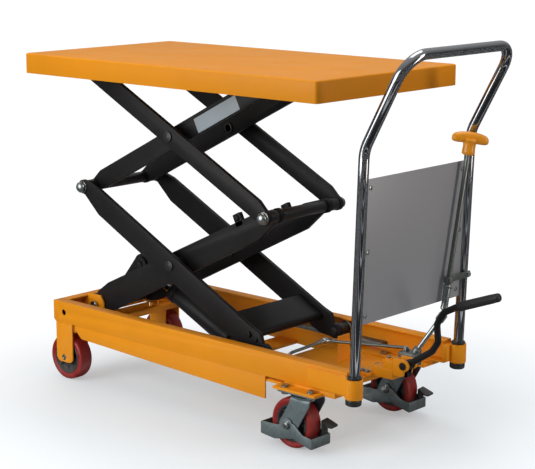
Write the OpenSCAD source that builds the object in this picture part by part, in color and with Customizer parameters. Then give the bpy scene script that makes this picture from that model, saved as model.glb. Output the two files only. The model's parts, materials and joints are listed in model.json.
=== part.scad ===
// Double scissor lift table on two fixed wheels and two braked swivel casters.
// Millimetres, +Z up, +X towards the push handle, Z = 0 on the floor.
// Stations named here are measured along X from the middle of the deck; place() shifts them all.

/* [Deck] */
// Length of the deck along X
deck_l = 1000; // [980:5:1010]
// Width of the deck along Y
deck_w = 530; // [520:5:560]
// Depth of the folded deck edge
deck_edge = 52; // [46:1:54]
// Radius of the upright deck corners
deck_corner_r = 9; // [4:1:14]

/* [Scissor] */
// Pivot-to-pivot length of every arm
arm_len = 736; // [732:1:740]
// Slope of the arms at rest, in degrees
rest_angle = 27; // [26.5:0.1:27.5]
// Height of the base pivots above the floor
base_pivot_z = 194; // [193.5:0.1:194.5]
// Thickness of an arm plate
arm_t = 12; // [10:1:13]
// Middle of the wide arm plane, from the centre line
wide_y = 135; // [134:1:137]
// Middle of the narrow arm plane, from the centre line
narrow_y = 90; // [86:1:92]
// Radius of the scissor pins
pin_r = 10; // [9:0.5:10.5]
// Radius of the guide rollers
roller_r = 19; // [18:0.5:19]

/* [Base] */
// Distance from the centre line to the outer face of a side rail
rail_y = 204; // [203:0.5:206]
// Height of the rail top above the floor
rail_top = 218; // [217.5:0.5:220]
// Wall thickness of the rails
rail_t = 4; // [3:0.5:4]
// Wheel diameter
wheel_d = 125; // [124:0.5:125]

/* [Handle] */
// Diameter of the handle tube
tube_d = 25; // [22:0.5:26]
// Height of the crossbar centre
bar_z = 953; // [930:1:970]
// Length of the back panel, bottom edge to top edge
panel_h = 338; // [300:1:340]

/* [Hidden] */
$fn = 48;

fit = 0.06;         // radial play of a pin in its bore
seat = 0.02;        // gap left between faces that only rest on each other
shift_x = -149.75;     // puts the middle of the whole length on X = 0
orange = [0.95, 0.6, 0.12];
black = [0.16, 0.16, 0.17];
steel = [0.62, 0.64, 0.66];
zinc = [0.42, 0.48, 0.5];
red = [0.6, 0.15, 0.13];

// scissor stations
pivot_x = -424;
run = arm_len * cos(rest_angle);
rise = arm_len * sin(rest_angle);
roller_x = pivot_x + run;
mid_z = base_pivot_z + rise;
top_z = mid_z + rise;
half = arm_len / 2;
roller_gap = 0.4;
channel_t = 3;
track_t = 4.3;
deck_sheet = 4;
deck_under = top_z + roller_r + roller_gap + track_t;
deck_top = deck_under + deck_sheet;
wide_in = wide_y - arm_t / 2;
wide_out = wide_y + arm_t / 2;
narrow_in = narrow_y - arm_t / 2;
narrow_out = narrow_y + arm_t / 2;

// base stations
rail_bottom = 160;
rail_flange = 30;
rail_in = rail_y - rail_flange;
base_left = -483;
rail_right = 546;
skirt_in = 2;          // how far the skirt stands behind the rail face
skirt_left = -398;
skirt_right = 291;
pan_left = 200;
pan_right = 456;
pan_z = 146;
pan_sheet = 4;
wheel_r = wheel_d / 2;
fixed_x = -445;
fixed_y = 176;
swivel_x = 411.5;
swivel_y = 190;
trail = 30;
mount_top = 154;
mount_t = 6;
plate_t = 5;
plate_top = mount_top - mount_t - seat;
plate_bottom = plate_top - plate_t;
crown_top = 136;
foot = [14, 139];           // cylinder foot pin, X and Z
ram_eye = [-335, 305];      // ram pin, X and Z
cyl_angle = atan2(ram_eye[1] - foot[1], foot[0] - ram_eye[0]);
cyl_len = norm(ram_eye - foot);

// handle stations
handle_x0 = 565.5;
handle_y = 204;
kink_x = 587;
kink_z = 738;
bar_x = 703;
bend_r = 64;
lean = atan2(kink_x - handle_x0, kink_z - 150);
slant = atan2(bar_x - kink_x, bar_z - kink_z);
panel_z = 333;

// pedal and release stations
pedal_y = 22;
pedal_pivot = [550, 190];
pedal_r = 8;
heel = 24;
plunger_z = pedal_pivot[1] - heel;
knob_p = [604, 171, 692];
joint_b = [588, 108, 303];
valve_p = [541, 76, 218];

module place() { translate([shift_x, 0, 0]) children(); }

// the same thing on both sides of the centre line
module both() {
    children();
    mirror([0, 1, 0]) children();
}

// solid of an outline drawn in X and Z, from y0 to y1
module slab(y0, y1) { translate([0, y1, 0]) rotate([90, 0, 0]) linear_extrude(y1 - y0) children(); }

// cylinder along Y at a station in X and Z
module bar_y(p, r, y0, y1, sides = 48) {
    translate([p[0], y0, p[1]]) rotate([-90, 0, 0]) cylinder(r = r, h = y1 - y0, $fn = sides);
}

// cylinder from point a to point b
module rod(a, b, r) {
    d = b - a;
    translate(a) rotate([0, acos(d[2] / norm(d)), atan2(d[1], d[0])]) cylinder(r = r, h = norm(d));
}

// moves an arm drawn along X to its pivot and its slope, rising for a positive angle
module at_slope(p, angle) { translate([p[0], 0, p[1]]) rotate([0, -angle, 0]) children(); }

// ---- base ----

module side_rail(side) {
    color(orange) place() mirror([0, side < 0 ? 0 : 1, 0]) difference() {
        translate([base_left, -rail_y, rail_bottom])
            cube([rail_right - base_left, rail_flange, rail_top - rail_bottom]);
        translate([base_left + rail_t, -rail_y + rail_t, rail_bottom + rail_t])
            cube([rail_right - base_left, rail_flange, rail_top - rail_bottom - 2 * rail_t]);
        bar_y([-442, 189], 8, -rail_y - 1, -rail_y + rail_t + 1);
        // lower end corner taken off
        translate([base_left, -rail_y + rail_flange / 2, rail_bottom]) rotate([0, 45, 0])
            cube([9.9, rail_flange + 2, 9.9], center = true);
    }
}
module side_rail_l() { side_rail(-1); }
module side_rail_r() { side_rail(1); }

module side_skirts() {
    color(orange) place() both() slab(-rail_y + skirt_in, -rail_y + skirt_in + rail_t)
        polygon([[skirt_left, rail_bottom - seat], [skirt_left, 147], [-375, 126],
            [skirt_right, 102], [skirt_right, rail_bottom - seat]]);
}

beam_x = -406;         // web of the beam under the rails
beam_y = rail_y - skirt_in - rail_t - 0.1;
module end_cross_member() {
    color(orange) place() {
        translate([base_left, -rail_in + seat, rail_bottom]) {
            cube([rail_t, 2 * (rail_in - seat), rail_top - rail_bottom]);
            translate([0, 0, rail_top - rail_bottom - rail_t])
                cube([28, 2 * (rail_in - seat), rail_t]);
            cube([28, 2 * (rail_in - seat), rail_t]);
        }
        // angle beam under the rails, behind the fixed wheels
        translate([beam_x, -beam_y, 137]) cube([4, 2 * beam_y, rail_bottom - seat - 137]);
        translate([beam_x, -beam_y, rail_bottom - seat - 4]) cube([24, 2 * beam_y, 4]);
        translate([beam_x, -78, 150]) cube([4, 156, 24]);
    }
}

ear_in = 20;
ear_t = 8;
module cylinder_cross_member() {
    color(orange) place() {
        translate([-20, -rail_y + skirt_in + rail_t + seat, 112])
            cube([68, 2 * (rail_y - skirt_in - rail_t - seat), 8]);
        both() difference() {
            slab(-ear_in - ear_t, -ear_in) union() {
                translate([foot[0] - 18, 119]) square([36, foot[1] - 119]);
                translate(foot) circle(r = 18);
            }
            bar_y(foot, 9 + fit, -ear_in - ear_t - 1, -ear_in + 1);
        }
        bar_y(foot, 9, -ear_in - ear_t - 5, ear_in + ear_t + 5);
    }
}

pan_r = 457;
module pan_curve() { translate([pan_right - pan_r, 20, pan_z - 15]) children(); }
module base_pan() {
    pan_y = rail_y - skirt_in - rail_t - seat;
    color(orange) place() {
        difference() {
            intersection() {
                translate([pan_left, -pan_y, pan_z])
                    cube([pan_right + 5 - pan_left, 2 * pan_y, pan_sheet]);
                // the front edge is a shallow curve
                pan_curve() cylinder(r = pan_r, h = 30, $fn = 96);
            }
            // passage for the oil pipe
            translate([257, -110.3, pan_z - 1]) cylinder(r = 10, h = 6);
            both() translate([skirt_right + 6, -pan_y - 1, pan_z - 1]) cube([300, 62, 6]);
        }
        both() translate([pan_left, -pan_y, pan_z + pan_sheet])
            cube([skirt_right - pan_left, pan_sheet, rail_bottom - seat - pan_z - pan_sheet]);
        translate([pan_left, -pan_y, pan_z - 6]) cube([pan_sheet, 2 * pan_y, 6]);
        translate([323, 32, pan_z + pan_sheet]) cube([4, 44, 66]);
        // lip turned down along the front edge
        intersection() {
            translate([350, -136, pan_z - 10]) cube([120, 272, 12]);
            pan_curve() difference() {
                cylinder(r = pan_r - 0.2, h = 30, $fn = 96);
                translate([0, 0, -1]) cylinder(r = pan_r - 4.2, h = 32, $fn = 96);
            }
        }
    }
}

module leg_plates() {
    leg = [[-474, rail_bottom - seat], [-474, 66], [-458, 50], [-426, 50], [-410, 66],
        [-410, rail_bottom - seat]];
    color(orange) place() both() difference() {
        union() {
            slab(-rail_y, -rail_y + rail_t) {
                polygon(leg);
                translate([-458, 66]) circle(r = 16);
                translate([-426, 66]) circle(r = 16);
            }
            slab(-fixed_y + 25, -fixed_y + 29) {
                polygon(leg);
                translate([-458, 66]) circle(r = 16);
                translate([-426, 66]) circle(r = 16);
            }
            translate([-474, -rail_y, rail_bottom - seat - 4]) cube([64, 57, 4]);
        }
        bar_y([fixed_x, wheel_r], 8 + fit, -rail_y - 1, -fixed_y + 30);
    }
}

module base_pivot_brackets() {
    color(orange) place() both() difference() {
        slab(-narrow_out - 8.5, -narrow_out - 2.5)
            polygon([[base_left + rail_t + seat, rail_bottom + rail_t + seat],
                [-392, rail_bottom + rail_t + seat], [-392, 205], [-404, 224],
                [base_left + 29, 224], [base_left + 29, rail_top - rail_t - seat],
                [base_left + rail_t + seat, rail_top - rail_t - seat]]);
        bar_y([pivot_x, base_pivot_z], pin_r + fit, -narrow_out - 9, -narrow_out - 2);
    }
}

module base_pivot_shaft() {
    end = narrow_out + 14;
    color(steel) place() {
        bar_y([pivot_x, base_pivot_z], pin_r, -end, end);
        both() bar_y([pivot_x, base_pivot_z], pin_r + 3, -end - 3, -end + 3);
    }
}

module roller_tracks() {
    color(steel) place() both()
        translate([40, -rail_y + rail_t + 1, rail_bottom + rail_t + seat])
            cube([310, rail_flange - rail_t - 1, base_pivot_z - roller_r - roller_gap
                - rail_bottom - rail_t - seat]);
}

module fixed_axles() {
    color(steel) place() both() {
        bar_y([fixed_x, wheel_r], 8, -rail_y + 1, -fixed_y + 32);
        bar_y([fixed_x, wheel_r], 13, -fixed_y + 29.1, -fixed_y + 37, 6);
    }
}

// ---- wheels ----

module tyre(p, y, w) {
    color(red) translate([p[0], y, p[1]]) rotate([90, 0, 0]) rotate_extrude($fn = 96)
        polygon([[46, -w / 2 + 3], [56, -w / 2], [wheel_r - 3, -w / 2 + 2], [wheel_r, -w / 2 + 7],
            [wheel_r, w / 2 - 7], [wheel_r - 3, w / 2 - 2], [56, w / 2], [46, w / 2 - 3]]);
}

module hub(p, y, w, bore) {
    color(black) translate([p[0], y, p[1]]) rotate([90, 0, 0]) rotate_extrude($fn = 96)
        polygon([[bore, -w / 2], [17, -w / 2], [17, -w / 2 + 9], [38, -w / 2 + 11], [41, -w / 2 + 4],
            [46, -w / 2 + 5], [46, w / 2 - 5], [41, w / 2 - 4], [38, w / 2 - 11],
            [17, w / 2 - 9], [17, w / 2], [bore, w / 2]]);
}

module fixed_tyre_l() { place() tyre([fixed_x, wheel_r], -fixed_y, 42); }
module fixed_tyre_r() { place() tyre([fixed_x, wheel_r], fixed_y, 42); }
module fixed_hub_l() { place() hub([fixed_x, wheel_r], -fixed_y, 46, 8 + fit); }
module fixed_hub_r() { place() hub([fixed_x, wheel_r], fixed_y, 46, 8 + fit); }
module caster_tyre_l() { place() tyre([swivel_x - trail, wheel_r], -swivel_y, 42); }
module caster_tyre_r() { place() tyre([swivel_x - trail, wheel_r], swivel_y, 42); }
module caster_hub_l() { place() hub([swivel_x - trail, wheel_r], -swivel_y, 46, 6 + fit); }
module caster_hub_r() { place() hub([swivel_x - trail, wheel_r], swivel_y, 46, 6 + fit); }

// ---- casters ----

bolt_x = 80;
bolt_y = 60;
module bolt_places() {
    for (dx = [-bolt_x / 2, bolt_x / 2], dy = [-bolt_y / 2, bolt_y / 2])
        translate([swivel_x + dx, -swivel_y + dy, 0]) children();
}

module caster_mounts() {
    color(orange) place() both() difference() {
        union() {
            translate([skirt_right + 8, -rail_y, mount_top - mount_t]) cube([211, 64, mount_t]);
            translate([345, -swivel_y - 46, mount_top - mount_t]) cube([130, 40, mount_t]);
            // spacer up to the rail
            translate([355, -rail_y, mount_top - 0.01])
                cube([155, 26, rail_bottom - seat - mount_top + 0.01]);
        }
        bolt_places() translate([0, 0, mount_top - mount_t - 1]) cylinder(r = 5.3, h = mount_t + 2);
    }
}

module caster_plates() {
    color(zinc) place() both() {
        difference() {
            translate([swivel_x - 58, -swivel_y - 44, plate_bottom]) cube([116, 88, plate_t]);
            bolt_places() translate([0, 0, plate_bottom - 1]) cylinder(r = 5.3, h = plate_t + 2);
        }
        translate([swivel_x, -swivel_y, 0]) {
            translate([0, 0, crown_top + 1]) cylinder(r = 31, h = plate_bottom - crown_top - 1);
            translate([0, 0, 124]) cylinder(r = 8, h = plate_bottom - 124);
            translate([0, 0, 126.5]) cylinder(r = 12, h = 3);
        }
    }
}

module caster_bolts() {
    color(steel) place() both() bolt_places() {
        translate([0, 0, mount_top + seat]) cylinder(r = 9.5, h = 6.5, $fn = 6);
        translate([0, 0, plate_bottom - 6.9]) cylinder(r = 5, h = mount_top - plate_bottom + 7.9);
        translate([0, 0, plate_bottom - seat - 6.5]) cylinder(r = 9.5, h = 6.5, $fn = 6);
    }
}

module caster_fork(side) {
    ax = swivel_x - trail;
    color(zinc) place() mirror([0, side < 0 ? 0 : 1, 0]) translate([0, -swivel_y, 0]) {
        difference() {
            translate([swivel_x, 0, crown_top - 6]) cylinder(r = 37, h = 6);
            translate([swivel_x, 0, crown_top - 7]) cylinder(r = 8 + fit, h = 8);
        }
        both() slab(-30, -26) difference() {
            union() {
                polygon([[ax - 29, wheel_r - 2], [ax + 28, wheel_r - 8], [swivel_x + 34, 118],
                    [swivel_x + 34, crown_top], [swivel_x - 28, crown_top],
                    [swivel_x - 26, 118]]);
                translate([ax, wheel_r]) circle(r = 17);
            }
            translate([ax, wheel_r]) circle(r = 6 + fit);
        }
        bar_y([ax, wheel_r], 6, -42, 38);
        bar_y([ax, wheel_r], 10, -42, -37, 6);
        bar_y([ax, wheel_r], 10, 36, 42, 6);
    }
}
module caster_fork_l() { caster_fork(-1); }
module caster_fork_r() { caster_fork(1); }

module caster_brake(side) {
    ax = swivel_x - trail;
    color(zinc) place() mirror([0, side < 0 ? 0 : 1, 0]) translate([0, -swivel_y, 0]) {
        both() slab(-35, -31) difference() {
            union() {
                polygon([[ax - 84, 24], [ax - 40, 18], [ax + 18, 32], [ax + 76, 16], [ax + 76, 42],
                    [ax + 14, 70], [ax - 16, 60], [ax - 84, 52]]);
                translate([ax, wheel_r]) circle(r = 15);
            }
            translate([ax, wheel_r]) circle(r = 6 + fit);
        }
        translate([ax + 72, -35, 16]) cube([4, 70, 26]);
        translate([ax - 84, -35, 24]) cube([4, 70, 28]);
        // foot tab on a stem behind the end plate, on the same hand at both casters
        mirror([0, side < 0 ? 0 : 1, 0]) {
            translate([ax + 67, 8, 40]) cube([5.1, 27, 37]);
            translate([ax + 68, 3, 77]) rotate([0, 20, 0]) cube([40, 36, 4]);
        }
    }
}
module caster_brake_l() { caster_brake(-1); }
module caster_brake_r() { caster_brake(1); }

// ---- handle ----

module handle_sockets() {
    color(orange) place() both() difference() {
        union() {
            translate([handle_x0 + 1.2, -handle_y, 162]) cylinder(r = 20.6, h = 46);
            translate([432, -rail_y - 6, 166]) cube([118, 6 - seat, 44]);
            translate([rail_right + seat, -rail_y, 166]) cube([12, 34, 42]);
        }
        translate([handle_x0, -handle_y, 150]) rotate([0, lean, 0])
            cylinder(r = tube_d / 2 + 0.3, h = 80);
    }
}

// length of the tube taken up on each side of a bend of angle a and radius r
function bend_leg(r, a) = r * tan(a / 2);

// the handle as a solid bar of radius r; bends are a shade thicker than the straights that enter them
swell = 0.15;
entry = 1;
module handle_bar(r, open) {
    kink_r = 90;
    turn = slant - lean;
    cut = bend_leg(kink_r, turn);
    low = norm([kink_x - handle_x0, kink_z - 150]) - cut;
    high = norm([bar_x - kink_x, bar_z - kink_z]) - cut - bend_r;
    both() translate([handle_x0, -handle_y, 150]) rotate([0, lean, 0]) {
        translate([0, 0, -open]) cylinder(r = r, h = low + entry + open);
        translate([kink_r, 0, low]) rotate([90, 0, 0]) rotate([0, 0, 180 - turn])
            rotate_extrude(angle = turn) translate([kink_r, 0]) circle(r = r + swell);
        translate([kink_r * (1 - cos(turn)), 0, low + kink_r * sin(turn)]) rotate([0, turn, 0]) {
            translate([0, 0, -entry]) cylinder(r = r, h = high + 2 * entry);
            translate([0, bend_r, high]) rotate([0, -90, 0]) rotate([0, 0, -90])
                rotate_extrude(angle = 90) translate([bend_r, 0]) circle(r = r + swell);
        }
    }
    translate([bar_x, -handle_y + bend_r - entry, bar_z]) rotate([-90, 0, 0])
        cylinder(r = r, h = 2 * (handle_y - bend_r + entry));
}

module push_handle() {
    color(steel) place() difference() {
        handle_bar(tube_d / 2, 0);
        handle_bar(tube_d / 2 - 2.5, 1);
    }
}

module handle_foot_nuts() {
    color(black) place() both() translate([handle_x0, -handle_y, 150]) rotate([0, lean, 0]) {
        difference() {
            translate([0, 0, -4]) cylinder(r = 19, h = 15.1);
            translate([0, 0, -seat]) cylinder(r = tube_d / 2 + 0.1, h = 20);
        }
        difference() {
            translate([0, 0, 58.9]) cylinder(r = 17, h = 6);
            cylinder(r = tube_d / 2 + 0.1, h = 80);
        }
    }
}

module back_panel() {
    w = 2 * (handle_y - tube_d / 2 - 0.3);
    color([0.55, 0.57, 0.6]) place() translate([handle_x0, 0, 150]) rotate([0, lean, 0])
        difference() {
            translate([-1, -w / 2, panel_z - 150]) cube([2, w, panel_h]);
            for (s = [-1, 1], k = [0, 1, 2])
                translate([-5, s * (w / 2 - 14), panel_z - 130 + k * 149]) rotate([0, 90, 0])
                    cylinder(r = 3.2, h = 10);
        }
}

module panel_screws() {
    w = 2 * (handle_y - tube_d / 2 - 0.3);
    color(steel) place() translate([handle_x0, 0, 150]) rotate([0, lean, 0])
        for (s = [-1, 1], k = [0, 1, 2]) translate([0, s * (w / 2 - 14), panel_z - 130 + k * 149]) {
            rotate([0, 90, 0]) {
                translate([0, 0, 1 + seat]) cylinder(r = 5.5, h = 2.6);
                translate([0, 0, -3]) cylinder(r = 3, h = 5);
            }
            // lug welded to the tube behind the sheet
            translate([-4.5, s > 0 ? -9 : -14.2, -9]) cube([3.4, 23.2, 18]);
        }
}

// ---- release linkage and foot pump ----

rod_r = 6;
ball_r = 7.5;
sleeve_z = 376;
rod_dir = (knob_p - joint_b) / norm(knob_p - joint_b);

// point of the rod axis at height z
function on_rod(z) = joint_b + rod_dir * (z - joint_b[2]) / rod_dir[2];

module release_knob() {
    turn = atan2(rod_dir[1], rod_dir[0]);
    color(orange) place() translate(knob_p) rotate([0, acos(rod_dir[2]), turn])
        rotate([0, 0, -45 - turn]) difference() {
            union() {
                translate([0, 0, -4]) cylinder(r1 = 16, r2 = 15, h = 24);
                translate([0, 0, 19.5]) cylinder(r1 = 15.5, r2 = 19, h = 12);
                translate([0, 0, 30]) cylinder(r = 16.8, h = 17);
                for (s = [-1, 1]) {
                    translate([0, s * 31.2, 35]) sphere(r = 13.3);
                    translate([0, s * 31.2, 35]) rotate([s * 90, 0, 0]) cylinder(r = 12.8, h = 29);
                }
            }
            translate([0, 0, -5]) cylinder(r = rod_r + 0.02, h = 30);
        }
}

module upper_rod() {
    color(steel) place() {
        rod(joint_b, knob_p + 20 * rod_dir, rod_r);
        translate(joint_b) sphere(r = ball_r);
    }
}

// sleeve clamped on the lower end of the upper rod
module rod_sleeve() {
    color(steel) place() difference() {
        rod(joint_b + 14 * rod_dir, on_rod(sleeve_z), 8.5);
        rod(joint_b, on_rod(sleeve_z + 5), rod_r + 0.02);
    }
}

// socket around the ball end, then a rod down to the valve
module lower_rod() {
    d = (valve_p - joint_b) / norm(valve_p - joint_b);
    color(steel) place() difference() {
        union() {
            rod(joint_b - 0.4 * d, joint_b + 20 * d, 11);
            rod(joint_b + 15 * d, valve_p + 7 * d, rod_r);
        }
        translate(joint_b) sphere(r = ball_r + 0.3);
    }
}

// strap bolted to the handle tube that steadies the upper rod
guide_z = 380;
guide_h = 16;
module rod_guide() {
    p = on_rod(guide_z + guide_h / 2);
    front = handle_x0 + (guide_z + guide_h - 150) * tan(lean) + tube_d / 2 + 0.4;
    color(steel) place() difference() {
        union() {
            translate([front, p[1], guide_z]) cube([3, handle_y + 10 - p[1], guide_h]);
            translate([p[0], p[1], guide_z]) cylinder(r = rod_r + 4.5, h = guide_h);
            translate([front + 2, handle_y, guide_z + guide_h / 2]) rotate([0, 90, 0])
                cylinder(r = 6.5, h = 6, $fn = 6);
        }
        rod(joint_b, knob_p, rod_r + 0.4);
    }
}

module pump_body() {
    floor_z = pan_z + pan_sheet + seat;
    color(orange) place() difference() {
        union() {
            translate([424, -14, floor_z]) cube([40, 74, 8]);
            translate([457.5, 0, 138]) cube([63, 46, 37]);
            translate([488, 2, 171]) cube([32.5, 44, 25]);
            for (y = [pedal_y - 20, pedal_y + 12]) translate([519, y, 162]) {
                cube([31, 8, 42]);
                translate([31, 0, 28]) rotate([-90, 0, 0]) cylinder(r = 14, h = 8);
            }
        }
        translate([470, pedal_y, plunger_z]) rotate([0, 90, 0]) cylinder(r = 7 + fit, h = 60);
        bar_y(pedal_pivot, 7 + fit, pedal_y - 21, pedal_y + 21);
        for (y = [-8, 54], x = [434, 450]) translate([x, y, floor_z - 1]) cylinder(r = 4.5, h = 10);
    }
}

module pump_bolts() {
    floor_z = pan_z + pan_sheet + seat;
    color(steel) place() for (y = [-8, 54], x = [434, 450]) translate([x, y, floor_z]) {
        cylinder(r = 4.4, h = 9);
        translate([0, 0, 8 + seat]) cylinder(r = 6.8, h = 5, $fn = 6);
    }
}

module lowering_valve() {
    d = (joint_b - valve_p) / norm(joint_b - valve_p);
    color(steel) place() difference() {
        union() {
            rod(valve_p - 16 * d, valve_p, 11);
            translate([500, 46 + seat, 176]) cube([46, 38, 32]);
        }
        rod(valve_p - 9 * d, valve_p + d, rod_r + fit);
    }
}

// fixed steel oil pipe from the pump to the cylinder foot
pipe_path = [[508, 70, 208 + seat], [508, 70, 214], [316, -8, 212], [284, -104, 194],
    [250, -112, 136], [60, -60, 130], [14, -44, 139]];
module pressure_pipe() {
    color(steel) place() {
        for (k = [0 : len(pipe_path) - 2]) rod(pipe_path[k], pipe_path[k + 1], 4);
        for (k = [1 : len(pipe_path) - 2]) translate(pipe_path[k]) sphere(r = 4.6);
        translate([508, 70, 208 + seat]) cylinder(r = 9, h = 9, $fn = 6);
        bar_y([316, 212], 8, -14, -2, 6);
        bar_y(foot, 9, -52, -ear_in - ear_t - 5 - seat, 6);
    }
}

// lever outline in X and Z: root, shin, knee, foot rod
pedal_path = [pedal_pivot, [620, 236], [637, 262], [632, 306], [654, 338], [684, 354]];
grip_end = [796, 396];
module pedal_lever() {
    w = [pedal_pivot[0], pedal_y, pedal_pivot[1]];
    color(black) place() {
        bar_y(pedal_pivot, 12, pedal_y - 11.5, pedal_y + 11.5);
        bar_y(pedal_pivot, 7, pedal_y - 22, pedal_y + 22);
        translate([pedal_pivot[0] - 5, pedal_y - 9, plunger_z]) cube([10, 4, heel]);
        translate([pedal_pivot[0] - 5, pedal_y + 5, plunger_z]) cube([10, 4, heel]);
        bar_y([pedal_pivot[0], plunger_z], 6, pedal_y - 9, pedal_y + 9);
        for (k = [0 : len(pedal_path) - 2])
            rod([pedal_path[k][0], pedal_y, pedal_path[k][1]],
                [pedal_path[k + 1][0], pedal_y, pedal_path[k + 1][1]], pedal_r);
        for (k = [1 : len(pedal_path) - 1])
            translate([pedal_path[k][0], pedal_y, pedal_path[k][1]]) sphere(r = pedal_r + 0.5);
        rod([684, pedal_y, 354], [784, pedal_y, 391.5], pedal_r);
    }
}

module pedal_grip() {
    a = [694, pedal_y, 357.75];
    b = [grip_end[0], pedal_y, grip_end[1]];
    color(black) place() difference() {
        union() {
            rod(a, b, 11.2);
            translate(b) sphere(r = 10.8);
        }
        rod([684, pedal_y, 354], [784.2, pedal_y, 391.58], pedal_r + 0.02);
    }
}

module pump_plunger() {
    color(steel) place() translate([488, pedal_y, plunger_z]) rotate([0, 90, 0])
        cylinder(r = 7, h = pedal_pivot[0] - 6 - roller_gap - 488);
}

// ---- scissor ----

// lower arms are deep below the pivot line and cut back towards the middle joint at u = 0
module lower_outline(tail) {
    polygon(concat([[0, 18], [0, -17], [16, -15], [84, -34], [arm_len - 40, -34]], tail, [[60, 29]]));
    circle(r = 19);
    translate([arm_len, 0]) circle(r = 20);
}
narrow_tail = [[arm_len - 12, -26], [arm_len + 12, -14], [arm_len + 14, 12], [arm_len - 20, 34],
    [arm_len - 70, 42]];
wide_tail = [[arm_len, -20], [arm_len + 2, -4], [arm_len - 32, 33], [arm_len - 60, 30]];

// upper arms stay slim near the deck pivots at u = arm_len
module upper_outline() {
    polygon([[0, -17], [40, -22], [arm_len - 40, -22], [arm_len, -17], [arm_len, 16],
        [arm_len - 50, 28], [36, 28], [0, 17]]);
    circle(r = 18);
    translate([arm_len, 0]) circle(r = 18);
}

module lower_narrow_arms() {
    color(black) place() at_slope([pivot_x, base_pivot_z], rest_angle) both() difference() {
        slab(-narrow_out, -narrow_in) {
            translate([arm_len, 0]) mirror([1, 0]) lower_outline(narrow_tail);
            // rest block that the upper arm settles on
            translate([596, 20]) square([26, 31]);
        }
        for (u = [0, half, arm_len]) bar_y([u, 0], pin_r + fit, -narrow_out - 1, -narrow_in + 1);
    }
}

module lower_wide_arms() {
    color(black) place() at_slope([pivot_x, mid_z], -rest_angle) both() difference() {
        slab(-wide_out, -wide_in) lower_outline(wide_tail);
        for (u = [0, half, arm_len]) bar_y([u, 0], pin_r + fit, -wide_out - 1, -wide_in + 1);
    }
}

module upper_narrow_arms() {
    color(black) place() at_slope([pivot_x, mid_z], rest_angle) both() difference() {
        slab(-narrow_out, -narrow_in) upper_outline();
        for (u = [0, half, arm_len]) bar_y([u, 0], pin_r + fit, -narrow_out - 1, -narrow_in + 1);
    }
}

module upper_wide_arms() {
    color(black) place() at_slope([pivot_x, top_z], -rest_angle) both() difference() {
        slab(-wide_out, -wide_in) translate([arm_len, 0]) mirror([1, 0]) upper_outline();
        for (u = [0, half, arm_len]) bar_y([u, 0], pin_r + fit, -wide_out - 1, -wide_in + 1);
    }
}

// tie tube between the narrow arms, under the ram eye
tie = [95, 10];
module lower_arm_tubes() {
    color(black) place() at_slope([pivot_x, base_pivot_z], rest_angle) {
        difference() {
            bar_y([0, 0], 17, -narrow_in + seat, narrow_in - seat);
            bar_y([0, 0], pin_r + fit, -narrow_in, narrow_in);
        }
        bar_y(tie, 15, -narrow_in + seat, narrow_in - seat);
    }
}

lug_in = 13;
lug_t = 9;
module ram_lugs() {
    a = [pivot_x, base_pivot_z];
    b = a + [tie[0] * cos(rest_angle) - tie[1] * sin(rest_angle),
        tie[0] * sin(rest_angle) + tie[1] * cos(rest_angle)];
    color(black) place() {
        both() difference() {
            slab(-lug_in - lug_t, -lug_in) union() {
                translate(ram_eye) circle(r = 24);
                polygon([a + [-10, 26], a + [22, -2], b + [16, -10], ram_eye + [23.5, -4],
                    ram_eye + [-20, 13]]);
            }
            bar_y(a, 17 + seat, -lug_in - lug_t - 1, -lug_in + 1);
            bar_y(b, 15 + seat, -lug_in - lug_t - 1, -lug_in + 1);
            bar_y(ram_eye, 10 + fit, -lug_in - lug_t - 1, -lug_in + 1);
        }
        bar_y(ram_eye, 10, -lug_in - lug_t - 6, lug_in + lug_t + 6);
        both() bar_y(ram_eye, 13, -lug_in - lug_t - 5, -lug_in - lug_t - seat);
    }
}

// shaft with a domed nut at each end, and a bush between the two arm planes
module joint_shaft(u) {
    nut = wide_out + 4;
    bar_y([u, 0], pin_r, -nut - 12, nut + 12);
    both() {
        bar_y([u, 0], 15, -nut, -wide_out - 0.5);
        bar_y([u, 0], 15, -nut - 12, -nut + 1, 6);
        translate([u, -nut - 12, 0]) rotate([90, 0, 0]) cylinder(r1 = 12, r2 = 8, h = 4);
        bar_y([u, 0], 16, -wide_in + 0.5, -narrow_out - 0.5);
    }
}

module centre_pin(u) {
    both() {
        bar_y([u, 0], pin_r, -wide_out - 4, -narrow_in + 5);
        bar_y([u, 0], 14, -wide_out - 4, -wide_out - 0.5);
        bar_y([u, 0], 16, -wide_in + 0.5, -narrow_out - 0.5);
        bar_y([u, 0], 14, -narrow_in + 0.5, -narrow_in + 5);
    }
}

module lower_narrow_pins() {
    color(steel) place() at_slope([pivot_x, base_pivot_z], rest_angle) {
        centre_pin(half);
        joint_shaft(arm_len);
        bar_y([arm_len, 0], 15, -narrow_in + 0.5, narrow_in - 0.5);
    }
}

module lower_wide_pins() {
    color(steel) place() at_slope([pivot_x, mid_z], -rest_angle) {
        joint_shaft(0);
        bar_y([0, 0], 15, -narrow_in + 0.5, narrow_in - 0.5);
        both() {
            bar_y([arm_len, 0], pin_r, -rail_y + rail_t + 3, -wide_in + 4);
            bar_y([arm_len, 0], 15, -rail_in + 0.5, -wide_out - 0.5);
        }
    }
}

// plate and tie bolts that brace the lower wide arms
module arm_cross_plate() {
    color(black) place() at_slope([pivot_x, mid_z], -rest_angle) {
        translate([598, -wide_in + seat, 12]) cube([80, 2 * (wide_in - seat), 6]);
        bar_y([675, 6], 12, -wide_in + seat, wide_in - seat);
        both() {
            bar_y([675, 10], 8, -wide_out - 7, -wide_out - seat, 6);
            bar_y([701, 12], 5, -wide_out - 5, -wide_out - seat, 6);
        }
    }
}

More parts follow.
